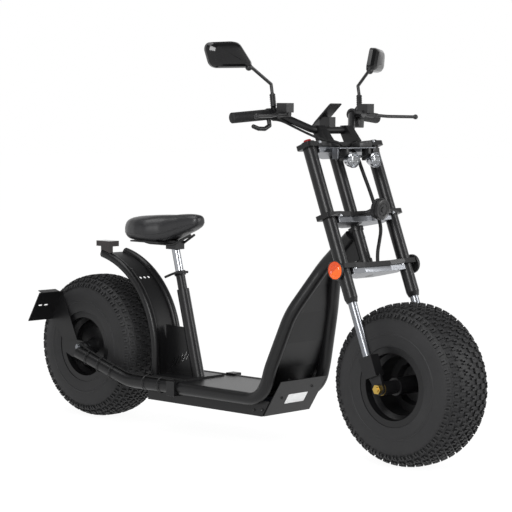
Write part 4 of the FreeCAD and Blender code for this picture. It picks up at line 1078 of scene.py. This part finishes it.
@dataclass
class Fasteners:
    """Socket-head bolts, set on the surfaces that carry them."""

    camera: PhotoCamera
    silver: tuple = (Bolt((319.4, 142.2), "yokes", 5.6), Bolt((330.1, 148.4), "yokes", 5.6),
                     Bolt((340.3, 215.7), "yokes", 5.6), Bolt((355.1, 267.8), "yokes", 5.6))
    black: tuple = (Bolt((124, 252), "hoop_tubes", 4.5), Bolt((150, 268), "hoop_tubes", 4.5),
                    Bolt((289, 380), "legshield_panel", 5.5, False), Bolt((254, 410), "battery_box", 4.5),
                    Bolt((262.5, 410), "battery_box", 4.5), Bolt((282, 398), "box_front_cover", 4.5, False),
                    Bolt((312, 386), "box_front_cover", 4.5, False))
    # Shares of the head's radius
    height: float = 0.75
    crown: float = 0.88
    socket_wall: float = 0.38
    socket_depth: float = 0.4
    sink: float = 0.4 * MM

    def add_head(self, form: bmesh.types.BMesh, spot: Vector, out: Vector, radius: float) -> None:
        """Adds a low round head with its socket."""
        turn = out.to_track_quat("Z", "Y").to_matrix().to_4x4()
        height = radius * self.height
        place = Matrix.Translation(spot + out * (height / 2 - self.sink)) @ turn
        made = bmesh.ops.create_cone(form, cap_ends=True, segments=18, radius1=radius,
                                     radius2=radius * self.crown, depth=height, matrix=place)["verts"]
        top = max({f for v in made for f in v.link_faces}, key=lambda f: f.calc_center_median().dot(out))
        bmesh.ops.inset_region(form, faces=[top], thickness=radius * self.socket_wall)
        bmesh.ops.translate(form, verts=list(top.verts), vec=-out * radius * self.socket_depth)

    def build(self, shop: Paintshop) -> None:
        """Builds the bolts of each body and finish.

        Args:
            shop: where the finishes come from.
        """
        kinds = (("yoke_bolts", "fork", self.silver, BOLT_ZINC, "alloy"),
                 ("frame_bolts", "frame", self.black, BOLT_BLACK, "black_alloy"))
        for name, body, bolts, finish, slot in kinds:
            form = bmesh.new()
            for bolt in bolts:
                for side in (1, -1) if bolt.pair else (1,):
                    found = self.camera.hit(bolt.pixel, bolt.node, side)
                    if found:
                        self.add_head(form, *found, bolt.radius * MM)
            shop.coat(finish_mesh(form, name, body, slot), finish)


@dataclass
class SmallTrim:
    """Blank plate on the slanted cover, black sleeves on the front axle, red cap and rear lamp lens."""

    camera: PhotoCamera
    plate_pixel: tuple = (296, 397.5)
    plate_size: tuple = (88, 36, 1.2)
    plate_lift: float = 0.4 * MM
    # Ends of the right and the left sleeve, left of the middle
    sleeves: Pairs = ((-76.3, -135.2), (110.3, 135.2))
    sleeve_radius: float = 19.7 * MM
    leg_side: float = 143.4
    cap_ends: tuple = (755, 763)

    def _plate(self, shop: Paintshop) -> None:
        """Lays the blank plate on the slanted cover."""
        found = self.camera.hit(self.plate_pixel, "box_front_cover")
        if not found:
            return
        spot, out = found
        across = Vector((0, 1, 0))
        turn = Matrix((across, out.cross(across).normalized(), out)).transposed().to_4x4()
        form = bmesh.new()
        place = Matrix.Translation(spot + out * self.plate_lift) @ turn
        add_block(form, Vector(self.plate_size) * MM, place, 0.4 * MM)
        shop.coat(finish_mesh(form, "blank_plate", "frame", "alloy"), BLANK_PLATE)

    def _rear_lens(self, shop: Paintshop) -> None:
        """Sets a lens in the back of the rear lamp."""
        low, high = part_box("tail_lamp")
        middle = Vector((low.x, (low.y + high.y) / 2, high.z - 9 * MM))
        size = Vector((3 * MM, high.y - low.y - 6 * MM, 13 * MM))
        form = bmesh.new()
        add_block(form, size, Matrix.Translation(middle), 1 * MM)
        shop.coat(finish_mesh(form, "tail_lamp_lens", "frame", "lamp_plastic"), RED_LENS)

    def build(self, shop: Paintshop) -> None:
        """Builds the trim.

        Args:
            shop: where the finishes come from.
        """
        self._plate(shop)
        form = bmesh.new()
        for near, far in self.sleeves:
            add_bar(form, at(WHEELBASE, near, AXLE_UP), at(WHEELBASE, far, AXLE_UP), self.sleeve_radius, 36)
        shop.coat(finish_mesh(form, "axle_sleeves", "fork", "painted_steel"), FRAME_PAINT)
        form = bmesh.new()
        low, high = self.cap_ends
        add_bar(form, FORK.at(low, -self.leg_side), FORK.at(high, -self.leg_side), 13 * MM, tip=11 * MM)
        shop.coat(finish_mesh(form, "fork_cap_right", "fork", "alloy"), RED_CAP)
        self._rear_lens(shop)


@dataclass
class EdgeBreaks:
    """Small rounded edges on plates and blocks, which catch the light as real ones do."""

    width: float = 0.9 * MM
    sharper_than: float = radians(40)
    nodes: tuple = ("yokes", "yoke_plates", "display", "lamp_bracket", "bar_risers", "battery_box",
                    "box_front_cover", "tail_lamp", "tube_clamps", "axle_brackets", "deck_rear")

    def build(self) -> None:
        """Puts a weld and a bevel on each node."""
        for name in self.nodes:
            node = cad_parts[name]
            weld = node.modifiers.new("weld", "WELD")
            weld.merge_threshold = 0.01 * MM
            bevel = node.modifiers.new("edges", "BEVEL")
            bevel.width = self.width
            bevel.segments = 2
            bevel.limit_method = "ANGLE"
            bevel.angle_limit = self.sharper_than
            bevel.harden_normals = True


@dataclass
class PhotoStage:
    """Pale floor, soft light and the photograph's camera."""

    camera: PhotoCamera
    sensor_mm: float = 36.0
    floor_half: float = 30.0
    # Share of the floor's look that is plain white, and its strength, which makes up for the paper's own grey
    floor_glow: float = 0.9
    glow_strength: float = 1.05
    fill: float = 0.6
    # Name, place, size and watts of each soft box
    boxes: tuple = (("key_box", (2.3, -3.2, 2.2), (0.8, 2.2), 110.0),
                    ("side_strip", (3.4, 1.6, 1.8), (0.5, 2.0), 60.0),
                    ("top_box", (-0.6, -0.6, 3.4), (2.2, 2.2), 55.0))
    aim: tuple = (0, 0, 0.5)

    def build(self) -> None:
        """Sets the camera, the floor, the world and the lamps."""
        self._camera()
        self._floor()
        self._world()
        self._lamps()
        bpy.context.scene.view_settings.view_transform = "Standard"

    def _camera(self) -> None:
        """Stands the camera where the photograph was taken from."""
        data = bpy.data.cameras.new("photo_camera")
        data.sensor_width = self.sensor_mm
        data.lens = self.camera.focal_pixels * self.sensor_mm / PHOTO_WIDTH
        data.clip_end = 100.0
        camera = link("photo_camera", data)
        camera.matrix_world = self.camera.matrix()
        bpy.context.scene.camera = camera

    def _seen(self, tree: bpy.types.NodeTree) -> bpy.types.NodeSocket:
        """Adds a value of 1 for what the camera, metal and glass see."""
        path = add_node(tree, "ShaderNodeLightPath").outputs
        direct = {0: path["Is Camera Ray"], 1: path["Is Glossy Ray"]}
        either = add_node(tree, "ShaderNodeMath", direct, operation="MAXIMUM")
        through = {0: either.outputs["Value"], 1: path["Is Transmission Ray"]}
        return add_node(tree, "ShaderNodeMath", through, operation="MAXIMUM").outputs["Value"]

    def _floor(self) -> None:
        """Lays a wide white floor that keeps a pale shadow."""
        form = bmesh.new()
        bmesh.ops.create_grid(form, x_segments=1, y_segments=1, size=self.floor_half)
        mesh = bpy.data.meshes.new("floor")
        form.to_mesh(mesh)
        form.free()
        link("floor", mesh)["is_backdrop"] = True
        material = bpy.data.materials.new("studio_paper")
        material.use_nodes = True
        tree = material.node_tree
        tree.nodes.clear()
        paper = add_node(tree, "ShaderNodeBsdfDiffuse", {"Color": linear("#fbfbfb")})
        white = {"Color": linear("#ffffff"), "Strength": self.glow_strength}
        glow = add_node(tree, "ShaderNodeEmission", white)
        part = {0: self._seen(tree), 1: self.floor_glow}
        share = add_node(tree, "ShaderNodeMath", part, operation="MULTIPLY")
        both = {"Fac": share.outputs["Value"], 1: paper.outputs["BSDF"], 2: glow.outputs["Emission"]}
        mix = add_node(tree, "ShaderNodeMixShader", both)
        add_node(tree, "ShaderNodeOutputMaterial", {"Surface": mix.outputs["Shader"]})
        mesh.materials.append(material)

    def _world(self) -> None:
        """Makes a studio that is white round the object and darker overhead, and that fills the shadows."""
        world = bpy.data.worlds.new("studio")
        bpy.context.scene.world = world
        world.use_nodes = True
        tree = world.node_tree
        light = next(n for n in tree.nodes if n.type == "BACKGROUND")
        way = add_node(tree, "ShaderNodeTexCoord").outputs["Generated"]
        up = add_node(tree, "ShaderNodeSeparateXYZ", {"Vector": way}).outputs["Z"]
        ceiling = {"Value": up, "From Min": 0.3, "From Max": 0.6, "To Min": 1.0, "To Max": 0.2}
        shown = add_node(tree, "ShaderNodeMapRange", ceiling)
        choice = {"Factor": self._seen(tree), "A": self.fill, "B": shown.outputs["Result"]}
        strength = add_node(tree, "ShaderNodeMix", choice, data_type="FLOAT")
        tree.links.new(strength.outputs["Result"], light.inputs["Strength"])
        light.inputs["Color"].default_value = (1.0, 1.0, 1.0, 1.0)

    def _lamps(self) -> None:
        """Hangs three soft boxes: a tall key, a side strip and a wide top."""
        for name, place, size, watts in self.boxes:
            data = bpy.data.lights.new(name, "AREA")
            data.shape = "RECTANGLE"
            data.size, data.size_y = size
            data.energy = watts
            turn = (Vector(self.aim) - Vector(place)).to_track_quat("-Z", "Y").to_matrix().to_4x4()
            link(name, data).matrix_world = Matrix.Translation(place) @ turn


def save_size() -> None:
    """Measures the dressed box and sets it beside the CAD box, then keeps neither."""
    boxes = {"cad": CAD_BOX, "visual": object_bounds()}
    {name: [list(corner) for corner in box] for name, box in boxes.items()}


def main() -> None:
    """Builds every sub-assembly in order."""
    logging.basicConfig(level=logging.INFO)
    shop = Paintshop()
    camera = PhotoCamera()
    PhotoStage(camera).build()
    shop.coat_frame()
    for end in ("front", "rear"):
        BalloonTyre(end + "_tyre", end + "_wheel").build(shop)
    for part in (PaddedSaddle(), Mirrors(), Headlamps(), SideReflectors(), Controls(), Cabling(),
                 Fasteners(camera), SmallTrim(camera)):
        part.build(shop)
    EdgeBreaks().build()
    save_size()


if __name__ == "__main__":
    main()
